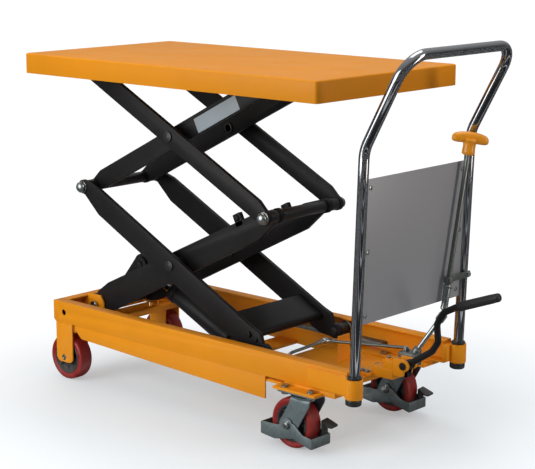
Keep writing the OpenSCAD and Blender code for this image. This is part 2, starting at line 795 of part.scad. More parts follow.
module upper_narrow_pins() {
    color(steel) place() at_slope([pivot_x, mid_z], rest_angle) {
        centre_pin(half);
        both() {
            bar_y([arm_len, 0], pin_r, -narrow_out - 27, -narrow_in + 4);
            bar_y([arm_len, 0], 13, -narrow_in + 0.5, -narrow_in + 4);
        }
    }
}

module base_rollers() {
    color(steel) place() both() difference() {
        bar_y([roller_x, base_pivot_z], roller_r, -rail_y + rail_t + 2, -rail_in - 1, 72);
        bar_y([roller_x, base_pivot_z], pin_r + fit, -rail_y, -rail_in + 2);
    }
}

module deck_rollers() {
    color(steel) place() both() difference() {
        bar_y([roller_x, top_z], roller_r, -narrow_out - 26, -narrow_out - 4, 72);
        bar_y([roller_x, top_z], pin_r + fit, -narrow_out - 28, -narrow_out - 2);
    }
}

// ---- deck ----

module deck_outline(inset) {
    r = deck_corner_r - inset;
    for (sx = [-1, 1], sy = [-1, 1])
        translate([sx * (deck_l / 2 - deck_corner_r), sy * (deck_w / 2 - deck_corner_r)])
            circle(r = r);
    square([deck_l - 2 * deck_corner_r, deck_w - 2 * inset], center = true);
    square([deck_l - 2 * inset, deck_w - 2 * deck_corner_r], center = true);
}

module deck() {
    color(orange) place() difference() {
        translate([0, 0, deck_top - deck_edge]) linear_extrude(deck_edge) deck_outline(0);
        translate([0, 0, deck_top - deck_edge - 1]) linear_extrude(deck_edge + 1 - deck_sheet)
            deck_outline(3);
    }
}

module deck_channels() {
    out = narrow_out + 32;
    color(orange) place() both() {
        translate([55, -out, top_z - roller_r - roller_gap - channel_t])
            cube([292, channel_t, deck_under - seat - top_z + roller_r + roller_gap + channel_t]);
        translate([55, -out, deck_under - track_t]) cube([292, 30.5, track_t - seat]);
        translate([55, -out, top_z - roller_r - roller_gap - channel_t]) cube([292, 30.5, channel_t]);
    }
}

module deck_pivots() {
    color(orange) place() {
        both() difference() {
            slab(-wide_out - 9, -wide_out - 2) union() {
                translate([pivot_x - 26, top_z]) square([52, deck_under - seat - top_z]);
                translate([pivot_x, top_z]) circle(r = 20);
            }
            bar_y([pivot_x, top_z], pin_r + fit, -wide_out - 10, -wide_out - 1);
        }
        both() {
            bar_y([pivot_x, top_z], pin_r, -wide_out - 14, -wide_in + 5);
            bar_y([pivot_x, top_z], 14, -wide_out - 14, -wide_out - 9 - seat);
            bar_y([pivot_x, top_z], 14, -wide_in + 0.5, -wide_in + 5);
        }
    }
}

// ---- hydraulic cylinder ----

barrel_r = 27;
ram_r = 17;
gland = 262;
eye_r = 31;
eye_play = 10.5;      // free play of the ram eye around its pin
module cylinder_barrel() {
    color(black) place() at_slope(foot, 180 - cyl_angle) difference() {
        union() {
            translate([26, 0, 0]) rotate([0, 90, 0]) cylinder(r = barrel_r, h = gland - 26);
            translate([gland - 22, 0, 0]) rotate([0, 90, 0]) cylinder(r = barrel_r + 3, h = 22);
            bar_y([0, 0], 17, -ear_in + 1, ear_in - 1);
            translate([0, -12, -14]) cube([30, 24, 28]);
        }
        translate([44, 0, 0]) rotate([0, 90, 0]) cylinder(r = ram_r + 4, h = gland - 44 - 22);
        translate([44, 0, 0]) rotate([0, 90, 0]) cylinder(r = ram_r + fit, h = gland);
        bar_y([0, 0], 9 + fit, -ear_in, ear_in);
    }
}

module cylinder_ram() {
    color(steel) place() at_slope(foot, 180 - cyl_angle) difference() {
        union() {
            translate([102, 0, 0]) rotate([0, 90, 0]) cylinder(r = ram_r, h = cyl_len - 102 - 46);
            translate([150, 0, 0]) rotate([0, 90, 0]) cylinder(r = 12, h = cyl_len - 150 - 25);
            translate([104, 0, 0]) rotate([0, 90, 0]) cylinder(r = ram_r + 4 - 2 * fit, h = 12);
            bar_y([cyl_len, 0], eye_r, -lug_in + 1, lug_in - 1);
        }
        bar_y([cyl_len, 0], 10 + eye_play, -lug_in, lug_in);
    }
}

side_rail_l();
side_rail_r();
side_skirts();
end_cross_member();
cylinder_cross_member();
base_pan();
leg_plates();
base_pivot_brackets();
base_pivot_shaft();
roller_tracks();
fixed_axles();
caster_mounts();
caster_plates();
caster_bolts();
handle_sockets();
push_handle();
handle_foot_nuts();
back_panel();
panel_screws();
rod_guide();
pump_body();
pump_bolts();
lowering_valve();
pressure_pipe();
fixed_tyre_l();
fixed_tyre_r();
fixed_hub_l();
fixed_hub_r();
caster_fork_l();
caster_fork_r();
caster_tyre_l();
caster_tyre_r();
caster_hub_l();
caster_hub_r();
caster_brake_l();
caster_brake_r();
release_knob();
upper_rod();
rod_sleeve();
lower_rod();
pedal_lever();
pedal_grip();
pump_plunger();
lower_narrow_arms();
lower_arm_tubes();
ram_lugs();
lower_narrow_pins();
lower_wide_arms();
arm_cross_plate();
lower_wide_pins();
upper_narrow_arms();
upper_narrow_pins();
upper_wide_arms();
deck_rollers();
base_rollers();
deck();
deck_channels();
deck_pivots();
cylinder_barrel();
cylinder_ram();
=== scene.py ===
"""Scissor lift table: the looks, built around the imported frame.

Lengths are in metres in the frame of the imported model, +X towards the push handle, +Z up.
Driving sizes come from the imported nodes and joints; finishes are procedural node trees.
"""
import json
import math

import bmesh
import bpy
import numpy as np
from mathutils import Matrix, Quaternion, Vector

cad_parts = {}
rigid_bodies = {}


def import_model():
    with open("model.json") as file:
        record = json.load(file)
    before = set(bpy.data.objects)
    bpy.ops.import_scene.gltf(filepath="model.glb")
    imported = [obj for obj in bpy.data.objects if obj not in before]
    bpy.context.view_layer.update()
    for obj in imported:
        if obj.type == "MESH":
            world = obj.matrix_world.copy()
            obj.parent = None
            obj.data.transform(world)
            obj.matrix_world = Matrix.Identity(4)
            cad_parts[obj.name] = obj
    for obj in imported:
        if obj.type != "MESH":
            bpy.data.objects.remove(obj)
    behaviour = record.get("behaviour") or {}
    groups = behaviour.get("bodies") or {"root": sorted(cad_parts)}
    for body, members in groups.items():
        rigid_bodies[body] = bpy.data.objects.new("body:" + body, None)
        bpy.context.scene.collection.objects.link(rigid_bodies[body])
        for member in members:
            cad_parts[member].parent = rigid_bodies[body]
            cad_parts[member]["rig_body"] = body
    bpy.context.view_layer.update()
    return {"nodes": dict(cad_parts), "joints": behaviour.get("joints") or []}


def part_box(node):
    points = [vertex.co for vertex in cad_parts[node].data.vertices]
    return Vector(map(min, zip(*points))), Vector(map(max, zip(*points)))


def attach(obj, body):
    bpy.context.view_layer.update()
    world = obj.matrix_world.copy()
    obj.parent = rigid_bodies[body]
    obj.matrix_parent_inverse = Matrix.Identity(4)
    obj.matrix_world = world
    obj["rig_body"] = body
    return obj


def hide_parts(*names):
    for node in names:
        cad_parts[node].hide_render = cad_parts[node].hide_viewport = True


bl_info = {
    "name": "Scissor lift table",
    "version": (1, 0, 0),
    "blender": (4, 5, 0),
    "location": "3D View > Sidebar > Lift",
    "description": "Builds the pieces and finishes of a mobile double scissor lift table",
    "category": "Add Mesh",
}

MM = 0.001
HEX_CHAMFER = 0.16  # share of a hexagon's length that the cone takes at each end
EASE_STEPS, SHARP_DEGREES = 2, 35
BAR_SIDES = 48
NUT_RADIUS, NUT_HEIGHT = 15.0, 15.0
TYRE_WIDTH, HUB_WIDTH, HUB_RIBS = 42.0, 46.0, 8

# Places in millimetres from the middle of the deck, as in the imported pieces.
AXLE_Z = 62.5
FIXED_AXLE_X, FIXED_WHEEL_Y = -445, 176
CASTER_AXLE_X, SWIVEL_X, CASTER_Y = 381.5, 411.5, 190
BASE_SHAFT = (-424, 0, 194)
SOCKET_X, SOCKET_Z, TUBE_Y = 565.5, 150, 204
KINK_X, KINK_Z, BAR_X, BAR_Z = 587, 738, 703, 953
ROD_GUIDE_Z = 388

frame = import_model()
JOINTS = {joint["name"]: joint for joint in frame["joints"]}
SIDES = (-1.0, 1.0)
SIDE_NAMES = {-1.0: "l", 1.0: "r"}


# ---------------------------------------------------------------- stations read from the frame

def low(node):
    """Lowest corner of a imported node."""
    return np.array(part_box(node)[0])


def high(node):
    """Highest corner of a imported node."""
    return np.array(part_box(node)[1])


def pivot(joint):
    """Joint place in the X-Z plane."""
    place = JOINTS[joint]["pos_m"]
    return np.array([place[0], place[2]])


BASE_PIVOT = pivot("lift")
LOWER_CENTRE = pivot("lower_scissor")
LEFT_ELBOW = pivot("left_elbow")
DECK_PIVOT = pivot("deck_pivot")
BASE_ROLLER = pivot("base_roller_spin")
DECK_ROLLER = pivot("deck_roller_spin")
RIGHT_ELBOW = 2 * LOWER_CENTRE - BASE_PIVOT
ARM_LENGTH = float(np.linalg.norm(RIGHT_ELBOW - BASE_PIVOT))
ARM_SLOPE = math.atan2(*(RIGHT_ELBOW - BASE_PIVOT)[::-1])
MID_X = float(low("deck")[0] + high("deck")[0]) / 2


def at(x):
    """X of a station given in millimetres from the middle of the deck."""
    return MID_X + x * MM


# ---------------------------------------------------------------- grid surfaces

def grid_faces(rows, columns, wrap_rows, wrap_columns):
    """Quads that join each grid point to its neighbours, as index lists."""
    i = np.arange(rows if wrap_rows else rows - 1)[:, None]
    j = np.arange(columns if wrap_columns else columns - 1)[None, :]
    down, right = (i + 1) % rows, (j + 1) % columns
    quads = [i * columns + j, i * columns + right, down * columns + right, down * columns + j]
    return np.stack(quads, -1).reshape(-1, 4).tolist()


def surface(grid, wrap_rows=False):
    """Mesh of a grid of points; the first and last rows are closed by flat caps."""
    rows, columns = grid.shape[:2]
    faces = grid_faces(rows, columns, wrap_rows, True)
    if not wrap_rows:
        faces.append(list(range(columns)))
        faces.append(list(range((rows - 1) * columns, rows * columns)))
    return grid.reshape(-1, 3), faces


def fillet(points, radius, closed=False, steps=6):
    """Polyline whose corners are arcs.

    centre = corner + bisector * r / sin(half angle), swept between both tangent points.
    """
    p = np.asarray(points, float)
    count = len(p)
    radii = np.broadcast_to(np.asarray(radius, float), (count,))
    out = []
    for i, r in enumerate(radii):
        if r <= 0 or (not closed and i in (0, count - 1)):
            out.append(p[i][None])
            continue
        a, b = p[i - 1] - p[i], p[(i + 1) % count] - p[i]
        la, lb = np.linalg.norm(a), np.linalg.norm(b)
        a, b = a / la, b / lb
        angle = math.acos(float(np.clip(a @ b, -1, 1)))
        if math.pi - angle < 1e-3 or angle < 1e-3:
            out.append(p[i][None])
            continue
        cut = min(r / math.tan(angle / 2), 0.49 * la, 0.49 * lb)
        bisector = (a + b) / np.linalg.norm(a + b)
        centre = p[i] + bisector * cut / math.cos(angle / 2)
        u, v, turn = p[i] + a * cut - centre, p[i] + b * cut - centre, math.pi - angle
        t = np.linspace(0, 1, steps + 1)[:, None]
        out.append(centre + (np.sin((1 - t) * turn) * u + np.sin(t * turn) * v) / math.sin(turn))
    return np.concatenate(out)


def ring(radius, count=32):
    """Circle of points (r cos t, r sin t)."""
    t = np.arange(count) * 2 * math.pi / count
    return np.stack([radius * np.cos(t), radius * np.sin(t)], -1)


def path_frames(path, up):
    """Tangent, side = up x tangent, and lift = tangent x side at each point of a path."""
    tangent = np.gradient(path, axis=0)
    tangent /= np.linalg.norm(tangent, axis=1)[:, None]
    side = np.cross(np.broadcast_to(up, path.shape), tangent)
    side /= np.linalg.norm(side, axis=1)[:, None]
    return tangent, side, np.cross(tangent, side)


def sweep(path, section, up=(0.0, 1.0, 0.0)):
    """Section (a, b) carried along a path: point = path + side * a + lift * b."""
    path, section = np.asarray(path, float), np.asarray(section, float)
    if section.ndim == 2:
        section = np.broadcast_to(section, (len(path),) + section.shape)
    _, side, lift = path_frames(path, np.asarray(up, float))
    grid = (path[:, None] + side[:, None] * section[..., :1] + lift[:, None] * section[..., 1:])
    return surface(grid)


def resample(path, stations):
    """Points of a path at the given distances along it."""
    path = np.asarray(path, float)
    run = np.concatenate([[0.0], np.cumsum(np.linalg.norm(np.diff(path, axis=0), axis=1))])
    return np.stack([np.interp(stations, run, path[:, k]) for k in range(path.shape[1])], -1)


def path_length(path):
    """Length of a polyline."""
    return float(np.linalg.norm(np.diff(np.asarray(path, float), axis=0), axis=1).sum())


def tube(path, radius, edge=0.0008, count=32, up=(0.0, 1.0, 0.0), swell=None):
    """Round bar along a path with quarter-round ends.

    radius = r - e (1 - sin a), start = e (1 - cos a).
    """
    path = np.asarray(path, float)
    total = path_length(path)
    run = np.concatenate([[0.0], np.cumsum(np.linalg.norm(np.diff(path, axis=0), axis=1))])
    inner = run[(run > edge * 1.5) & (run < total - edge * 1.5)]
    if swell is not None:
        inner = np.linspace(edge * 1.6, total - edge * 1.6, swell[0])
    a = np.linspace(0, math.pi / 2, 5)
    ends, shrink = edge * (1 - np.cos(a)), edge * (1 - np.sin(a))
    stations = np.concatenate([ends, inner, (total - ends)[::-1]])
    radii = radius - np.concatenate([shrink, np.zeros(len(inner)), shrink[::-1]])
    if swell is not None:
        radii = radii + swell[1](stations, total)
    return sweep(resample(path, stations), ring(1.0, count)[None] * radii[:, None, None], up)


AXES = {
    "x": np.array([[0, 0, 1], [0, 1, 0], [1, 0, 0]], float),
    "y": np.array([[1, 0, 0], [0, 0, 1], [0, 1, 0]], float),
    "z": np.eye(3),
}


def basis(axis):
    """Three directions whose third is the given axis."""
    if isinstance(axis, str):
        return AXES[axis]
    w = np.asarray(axis, float) / np.linalg.norm(axis)
    u = np.cross([0.0, 1.0, 0.0] if abs(w[1]) < 0.9 else [1.0, 0.0, 0.0], w)
    u /= np.linalg.norm(u)
    return np.stack([u, np.cross(w, u), w])


def hex_solid(across, length, centre, axis="y", turn=0.0):
    """Hexagon on a polar grid; radius = smaller of the flats' distance and a chamfer cone."""
    t = np.arange(72) * 2 * math.pi / 72 + turn
    flat = across / 2 / np.cos((t - turn) % (math.pi / 3) - math.pi / 6)
    cone = across / 2 * np.array([0.90, 1.02, 1.08, 1.16, 1.16, 1.08, 1.02, 0.90])
    height = length * np.array([0, 0.03, HEX_CHAMFER * 0.5, HEX_CHAMFER, 1 - HEX_CHAMFER,
                                1 - HEX_CHAMFER * 0.5, 0.97, 1])
    radius = np.minimum(flat[None], cone[:, None])
    u, v, w = basis(axis)
    grid = (np.asarray(centre, float) + height[:, None, None] * w
            + radius[..., None] * (np.cos(t)[None, :, None] * u + np.sin(t)[None, :, None] * v))
    return surface(grid)


def inset(outline, distance):
    """Closed outline moved inwards by mitred edge normals."""
    edges = np.roll(outline, -1, 0) - outline
    edges /= np.maximum(np.linalg.norm(edges, axis=1)[:, None], 1e-12)
    normal = np.stack([-edges[:, 1], edges[:, 0]], -1)
    before = np.roll(normal, 1, 0)
    miter = (normal + before) / (1 + (normal * before).sum(1))[:, None].clip(0.35)
    area = 0.5 * np.sum(outline[:, 0] * np.roll(outline[:, 1], -1) - np.roll(outline[:, 0],
                                                                             -1) * outline[:, 1])
    return outline + miter * distance * math.copysign(1.0, area)


def plate(outline, start, end, edge=0.0008, plane="xz"):
    """Outline given a thickness with rounded rims: inset e (1 - sin a) at depth e (1 - cos a)."""
    a = np.linspace(0, math.pi / 2, 4)
    depth, pull = edge * (1 - np.cos(a)), edge * (1 - np.sin(a))
    levels = np.concatenate([start + depth, (end - depth)[::-1]])
    pulls = np.concatenate([pull, pull[::-1]])
    rows = np.stack([inset(outline, d) for d in pulls])
    level = np.broadcast_to(levels[:, None], rows.shape[:2])
    order = {"xz": (rows[..., 0], level, rows[..., 1]), "xy": (rows[..., 0], rows[..., 1], level),
             "yz": (level, rows[..., 0], rows[..., 1])}[plane]
    return surface(np.stack(order, -1))


def mirrored(part):
    """The same part on the other side of the centre line."""
    points, faces = part
    return points * np.array([1.0, -1.0, 1.0]), [face[::-1] for face in faces]


def both_sides(parts):
    """Parts with their mirror images."""
    return list(parts) + [mirrored(part) for part in parts]


def sloped(part, origin, angle):
    """Part drawn along +X turned up by angle about the Y axis and moved to origin (X, Z)."""
    points, faces = part
    c, s = math.cos(angle), math.sin(angle)
    turned = np.stack([origin[0] + points[:, 0] * c - points[:, 2] * s, points[:, 1],
                       origin[1] + points[:, 0] * s + points[:, 2] * c], -1)
    return turned, faces


def all_sloped(parts, origin, angle):
    """Several parts sloped alike."""
    return [sloped(part, origin, angle) for part in parts]


def moved(part, offset):
    """Part shifted by an offset."""
    return part[0] + np.asarray(offset, float), part[1]


def weld_bead(path, radius, seed=1.0):
    """Half-sunk bead along a path whose radius ripples as r (0.9 + 0.2 |sin(k s)|)."""
    length = path_length(path)
    rows = max(12, int(length / (radius * 0.35)))
    s = np.linspace(0, length, rows)
    ripple = 0.9 + 0.2 * np.abs(np.sin(s / radius * 1.3 + seed))
    taper = np.clip(np.minimum(s, length - s) / radius, 0.15, 1)
    return sweep(resample(path, s), ring(1.0, 10)[None] * (radius * ripple * taper)[:, None, None],
                 (0.13, 0.97, 0.21))


# ---------------------------------------------------------------- objects

def link_object(name, mesh):
    """Object at the origin that holds the mesh."""
    piece = bpy.data.objects.new(name, mesh)
    bpy.context.scene.collection.objects.link(piece)
    return piece


def dress(piece, body, material, replaces=()):
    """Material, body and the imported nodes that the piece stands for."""
    piece.data.materials.clear()
    piece.data.materials.append(bpy.data.materials[material])
    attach(piece, body)
    if replaces:
        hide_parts(*replaces)
    return piece


def finish_normals(mesh, angle):
    """Outward faces, doubles merged, smooth shading with edges sharper than angle kept."""
    bm = bmesh.new()
    bm.from_mesh(mesh)
    bmesh.ops.remove_doubles(bm, verts=bm.verts, dist=2e-6)
    bmesh.ops.recalc_face_normals(bm, faces=bm.faces)
    bm.to_mesh(mesh)
    bm.free()
    mesh.polygons.foreach_set("use_smooth", np.ones(len(mesh.polygons), bool))
    mesh.set_sharp_from_angle(angle=math.radians(angle))


def build(name, parts, body, material, replaces=(), angle=32.0):
    """One object from several (points, faces) parts."""
    points, faces, offset = [], [], 0
    for part_points, part_faces in parts:
        points.append(part_points)
        faces += [[k + offset for k in face] for face in part_faces]
        offset += len(part_points)
    mesh = bpy.data.meshes.new(name)
    mesh.from_pydata(np.concatenate(points).tolist(), [], faces)
    finish_normals(mesh, angle)
    return dress(link_object(name, mesh), body, material, replaces)


def eased_copy(node, name, material, edge=0.001):
    """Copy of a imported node, merged, with every sharp edge eased to a small radius."""
    source = frame["nodes"][node]
    mesh = source.data.copy()
    mesh.name = name
    bm = bmesh.new()
    bm.from_mesh(mesh)
    bmesh.ops.remove_doubles(bm, verts=bm.verts, dist=1e-5)
    bmesh.ops.dissolve_limit(bm, angle_limit=math.radians(1.0), verts=bm.verts, edges=bm.edges)
    sharp = [e for e in bm.edges
             if len(e.link_faces) == 2 and e.calc_face_angle(0) > math.radians(SHARP_DEGREES)]
    bmesh.ops.bevel(bm, geom=sharp, offset=edge, segments=EASE_STEPS, profile=0.5, affect="EDGES",
                    clamp_overlap=True)
    bm.to_mesh(mesh)
    bm.free()
    mesh.polygons.foreach_set("use_smooth", np.ones(len(mesh.polygons), bool))
    mesh.set_sharp_from_angle(angle=math.radians(38))
    piece = link_object(name, mesh)
    return dress(piece, source["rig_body"], material, (node,))


# ---------------------------------------------------------------- driving sizes and colours

class LiftSizes(bpy.types.PropertyGroup):
    """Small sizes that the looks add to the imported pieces."""
    rim: bpy.props.FloatProperty(name="Plate rim", description="Radius of the rims of cut plates",
                                 default=0.0009, unit="LENGTH")
    fold: bpy.props.FloatProperty(name="Deck fold", description="Radius of the folded deck edge",
                                  default=0.0045, unit="LENGTH")
    bead: bpy.props.FloatProperty(name="Weld bead", description="Radius of a weld bead",
                                  default=0.0026, unit="LENGTH")
    bend: bpy.props.FloatProperty(name="Handle bend",
                                  description="Radius of the upper handle bends",
                                  default=0.064, unit="LENGTH")
    ribs: bpy.props.IntProperty(name="Grip ribs", description="Rings moulded on the pedal grip",
                                default=15)


class LiftColours(bpy.types.PropertyGroup):
    """Base colours of the finishes, linear."""
    coat: bpy.props.FloatVectorProperty(name="Powder coat",
                                        description="Orange coat of deck and base",
                                        default=(0.90, 0.325, 0.006), subtype="COLOR")
    black: bpy.props.FloatVectorProperty(name="Black paint", description="Arms, cylinder and pedal",
                                         default=(0.010, 0.010, 0.011), subtype="COLOR")
    zinc: bpy.props.FloatVectorProperty(name="Zinc", description="Plated nuts, bolts and rollers",
                                        default=(0.38, 0.42, 0.42), subtype="COLOR")
    galvanised: bpy.props.FloatVectorProperty(name="Galvanised",
                                              description="Caster forks and frames",
                                              default=(0.23, 0.29, 0.31), subtype="COLOR")
    chrome: bpy.props.FloatVectorProperty(name="Handle chrome", description="Plated handle tube",
                                          default=(0.36, 0.375, 0.40), subtype="COLOR")
    panel: bpy.props.FloatVectorProperty(name="Panel grey",
                                         description="Sheet between the handle tubes",
                                         default=(0.31, 0.345, 0.41), subtype="COLOR")
    tyre: bpy.props.FloatVectorProperty(name="Tyre red", description="Cast polyurethane tread",
                                        default=(0.27, 0.013, 0.011), subtype="COLOR")
    nylon: bpy.props.FloatVectorProperty(name="Hub black", description="Moulded wheel hubs",
                                         default=(0.014, 0.017, 0.018), subtype="COLOR")
    rubber: bpy.props.FloatVectorProperty(name="Grip rubber", description="Pedal grip",
                                          default=(0.014, 0.014, 0.016), subtype="COLOR")
    knob: bpy.props.FloatVectorProperty(name="Knob orange", description="Moulded release knob",
                                        default=(0.98, 0.37, 0.014), subtype="COLOR")


# ---------------------------------------------------------------- shader building

def node_group(name, inputs, outputs):
    """Empty shader group with float inputs {name: default} and outputs {name: socket type}."""
    group = bpy.data.node_groups.new(name, "ShaderNodeTree")
    group.interface.new_socket("Vector", in_out="INPUT", socket_type="NodeSocketVector")
    for label, default in inputs.items():
        socket = group.interface.new_socket(label, in_out="INPUT", socket_type="NodeSocketFloat")
        socket.default_value = default
    for label, kind in outputs.items():
        group.interface.new_socket(label, in_out="OUTPUT", socket_type=kind)
    return group, group.nodes.new("NodeGroupInput"), group.nodes.new("NodeGroupOutput")


def add(tree, kind, **settings):
    """New shader node; keys are attributes, or input sockets where the key is in in_<name> form."""
    node = tree.nodes.new("ShaderNode" + kind)
    for key, value in settings.items():
        if key.startswith("in_"):
            node.inputs[key[3:].replace("_", " ")].default_value = value
        else:
            setattr(node, key, value)
    return node


def math_node(tree, operation, a, b=None, clamp=False):
    """Math node fed by sockets or numbers."""
    node = add(tree, "Math", operation=operation, use_clamp=clamp)
    for slot, value in zip(node.inputs, (a, b)):
        if value is None:
            continue
        if isinstance(value, bpy.types.NodeSocket):
            tree.links.new(value, slot)
        else:
            slot.default_value = value
    return node.outputs[0]


def spread(tree, value, from_low, from_high, to_low=0.0, to_high=1.0):
    """Map Range of a socket, clamped."""
    node = add(tree, "MapRange", in_From_Min=from_low, in_From_Max=from_high,
               in_To_Min=to_low, in_To_Max=to_high)
    tree.links.new(value, node.inputs["Value"])
    return node.outputs["Result"]


def noise(tree, vector, scale, detail=3.0, rough=0.5):
    """Noise texture output; scale is a number or a socket."""
    node = add(tree, "TexNoise", in_Detail=detail, in_Roughness=rough)
    tree.links.new(vector, node.inputs["Vector"])
    if isinstance(scale, bpy.types.NodeSocket):
        tree.links.new(scale, node.inputs["Scale"])
    else:
        node.inputs["Scale"].default_value = scale
    return node.outputs["Fac"]


def mix_colour(tree, factor, a, b):
    """Colour mix of two sockets or colours."""
    node = add(tree, "Mix", data_type="RGBA", blend_type="MIX")
    for slot, value in zip((node.inputs["Factor"], node.inputs[6], node.inputs[7]), (factor, a, b)):
        if isinstance(value, bpy.types.NodeSocket):
            tree.links.new(value, slot)
        elif isinstance(value, (int, float)):
            slot.default_value = value
        else:
            slot.default_value = (*value[:3], 1.0)
    return node.outputs[2]


def make_skin_group():
    """Sprayed skin: fine orange-peel height, broad tone drift and scattered dust nibs."""
    group, gin, gout = node_group("sprayed_skin", {"Peel": 420.0, "Drift": 5.0},
                                  {"Height": "NodeSocketFloat", "Drift": "NodeSocketFloat",
                                   "Nibs": "NodeSocketFloat"})
    vector = gin.outputs["Vector"]
    peel = noise(group, vector, gin.outputs["Peel"], 2.0, 0.45)
    waves = noise(group, vector, 60.0, 2.0, 0.5)
    height = math_node(group, "ADD", math_node(group, "MULTIPLY", peel, 0.7),
                       math_node(group, "MULTIPLY", waves, 0.6))
    drift = spread(group, noise(group, vector, gin.outputs["Drift"], 4.0, 0.55), 0.32, 0.68)
    nibs = spread(group, noise(group, vector, 950.0, 0.0, 0.5), 0.78, 0.86)
    for label, value in (("Height", height), ("Drift", drift), ("Nibs", nibs)):
        group.links.new(value, gout.inputs[label])
    return group


def make_grime_group():
    """Handling wear: soft smudges, thin scratches and floor dust that fades out with height."""
    group, gin, gout = node_group("handling_grime", {"Scratch": 60.0, "Dust Top": 0.16},
                                  {"Smudge": "NodeSocketFloat", "Scratch": "NodeSocketFloat",
                                   "Dust": "NodeSocketFloat"})
    vector = gin.outputs["Vector"]
    smudge = spread(group, noise(group, vector, 11.0, 6.0, 0.62), 0.42, 0.72)
    warp = add(group, "VectorMath", operation="MULTIPLY_ADD")
    colour = add(group, "TexNoise", in_Scale=4.0, in_Detail=3.0)
    group.links.new(vector, colour.inputs["Vector"])
    group.links.new(colour.outputs["Color"], warp.inputs[0])
    warp.inputs[1].default_value = (0.35, 0.35, 0.35)
    group.links.new(vector, warp.inputs[2])
    cells = add(group, "TexVoronoi", feature="DISTANCE_TO_EDGE")
    group.links.new(warp.outputs[0], cells.inputs["Vector"])
    group.links.new(gin.outputs["Scratch"], cells.inputs["Scale"])
    lines = spread(group, cells.outputs["Distance"], 0.0, 0.012, 1.0, 0.0)
    breaks = spread(group, noise(group, vector, 23.0, 3.0, 0.6), 0.56, 0.7)
    scratch = math_node(group, "MULTIPLY", lines, breaks)
    split = add(group, "SeparateXYZ")
    group.links.new(vector, split.inputs[0])
    fade = math_node(group, "SUBTRACT", 1.0, math_node(group, "DIVIDE", split.outputs["Z"],
                                                      gin.outputs["Dust Top"]), True)
    dust = math_node(group, "MULTIPLY", fade,
                     spread(group, noise(group, vector, 38.0, 5.0, 0.6), 0.35, 0.75))
    for label, value in (("Smudge", smudge), ("Scratch", scratch), ("Dust", dust)):
        group.links.new(value, gout.inputs[label])
    return group


def make_grain_group():
    """Drawn-metal grain: noise stretched along one axis, plus a blotchy crystal pattern."""
    group, gin, gout = node_group("metal_grain", {"Fine": 900.0, "Crystal": 70.0},
                                  {"Grain": "NodeSocketFloat", "Crystal": "NodeSocketFloat"})
    vector = gin.outputs["Vector"]
    squeeze = add(group, "Mapping", vector_type="POINT")
    squeeze.inputs["Scale"].default_value = (1.0, 1.0, 0.08)
    group.links.new(vector, squeeze.inputs["Vector"])
    grain = noise(group, squeeze.outputs[0], gin.outputs["Fine"], 2.0, 0.6)
    cells = add(group, "TexVoronoi", feature="F1")
    group.links.new(vector, cells.inputs["Vector"])
    group.links.new(gin.outputs["Crystal"], cells.inputs["Scale"])
    tone = add(group, "SeparateColor")
    group.links.new(cells.outputs["Color"], tone.inputs[0])
    for label, value in (("Grain", grain), ("Crystal", tone.outputs[0])):
        group.links.new(value, gout.inputs[label])
    return group


class Finish:
    """A material with a Principled BSDF, Object coordinates and the shared groups placed in it."""

    def __init__(self, name):
        self.material = bpy.data.materials.new(name)
        self.material.use_nodes = True
        self.tree = self.material.node_tree
        self.shader = next(n for n in self.tree.nodes if n.type == "BSDF_PRINCIPLED")
        self.place = add(self.tree, "TexCoord").outputs["Object"]

    def group(self, name, **values):
        node = self.tree.nodes.new("ShaderNodeGroup")
        node.node_tree = bpy.data.node_groups[name]
        self.tree.links.new(self.place, node.inputs["Vector"])
        for label, value in values.items():
            node.inputs[label.replace("_", " ")].default_value = value
        return node.outputs

    def constant(self, **values):
        for label, value in values.items():
            self.shader.inputs[label.replace("_", " ")].default_value = value

    def feed(self, label, value):
        self.tree.links.new(value, self.shader.inputs[label])

    def bump(self, height, strength, distance):
        node = add(self.tree, "Bump", in_Strength=strength, in_Distance=distance)
        self.tree.links.new(height, node.inputs["Height"])
        self.feed("Normal", node.outputs["Normal"])


def sprayed_finish(name, colour, roughness, peel, strength, drift_shade=0.9,
                   dust_tone=(0.42, 0.36, 0.28),
                   scratch_tone=(0.30, 0.28, 0.26), dust=0.35, scratch=0.5, specular=0.5):
    """Paint or powder coat: drifting tone, peel bump, smudged gloss, scratches and floor dust."""
    f = Finish(name)
    skin, grime = f.group("sprayed_skin", Peel=peel), f.group("handling_grime")
    t = f.tree
    deep = tuple(c * drift_shade for c in colour)
    tone = mix_colour(t, skin["Drift"], colour, deep)
    tone = mix_colour(t, math_node(t, "MULTIPLY", grime["Scratch"], scratch), tone, scratch_tone)
    tone = mix_colour(t, math_node(t, "MULTIPLY", grime["Dust"], dust), tone, dust_tone)
    f.feed("Base Color", tone)
    rough = math_node(t, "ADD",
                      spread(t, grime["Smudge"], 0.0, 1.0, roughness - 0.04, roughness + 0.10),
                      math_node(t, "MULTIPLY", grime["Dust"], 0.3), True)
    f.feed("Roughness", rough)
    height = math_node(t, "SUBTRACT", math_node(t, "ADD", skin["Height"], skin["Nibs"]),
                       math_node(t, "MULTIPLY", grime["Scratch"], 0.5))
    f.bump(height, strength, 0.0004)
    f.constant(Metallic=0.0, Specular_IOR_Level=specular)
    return f


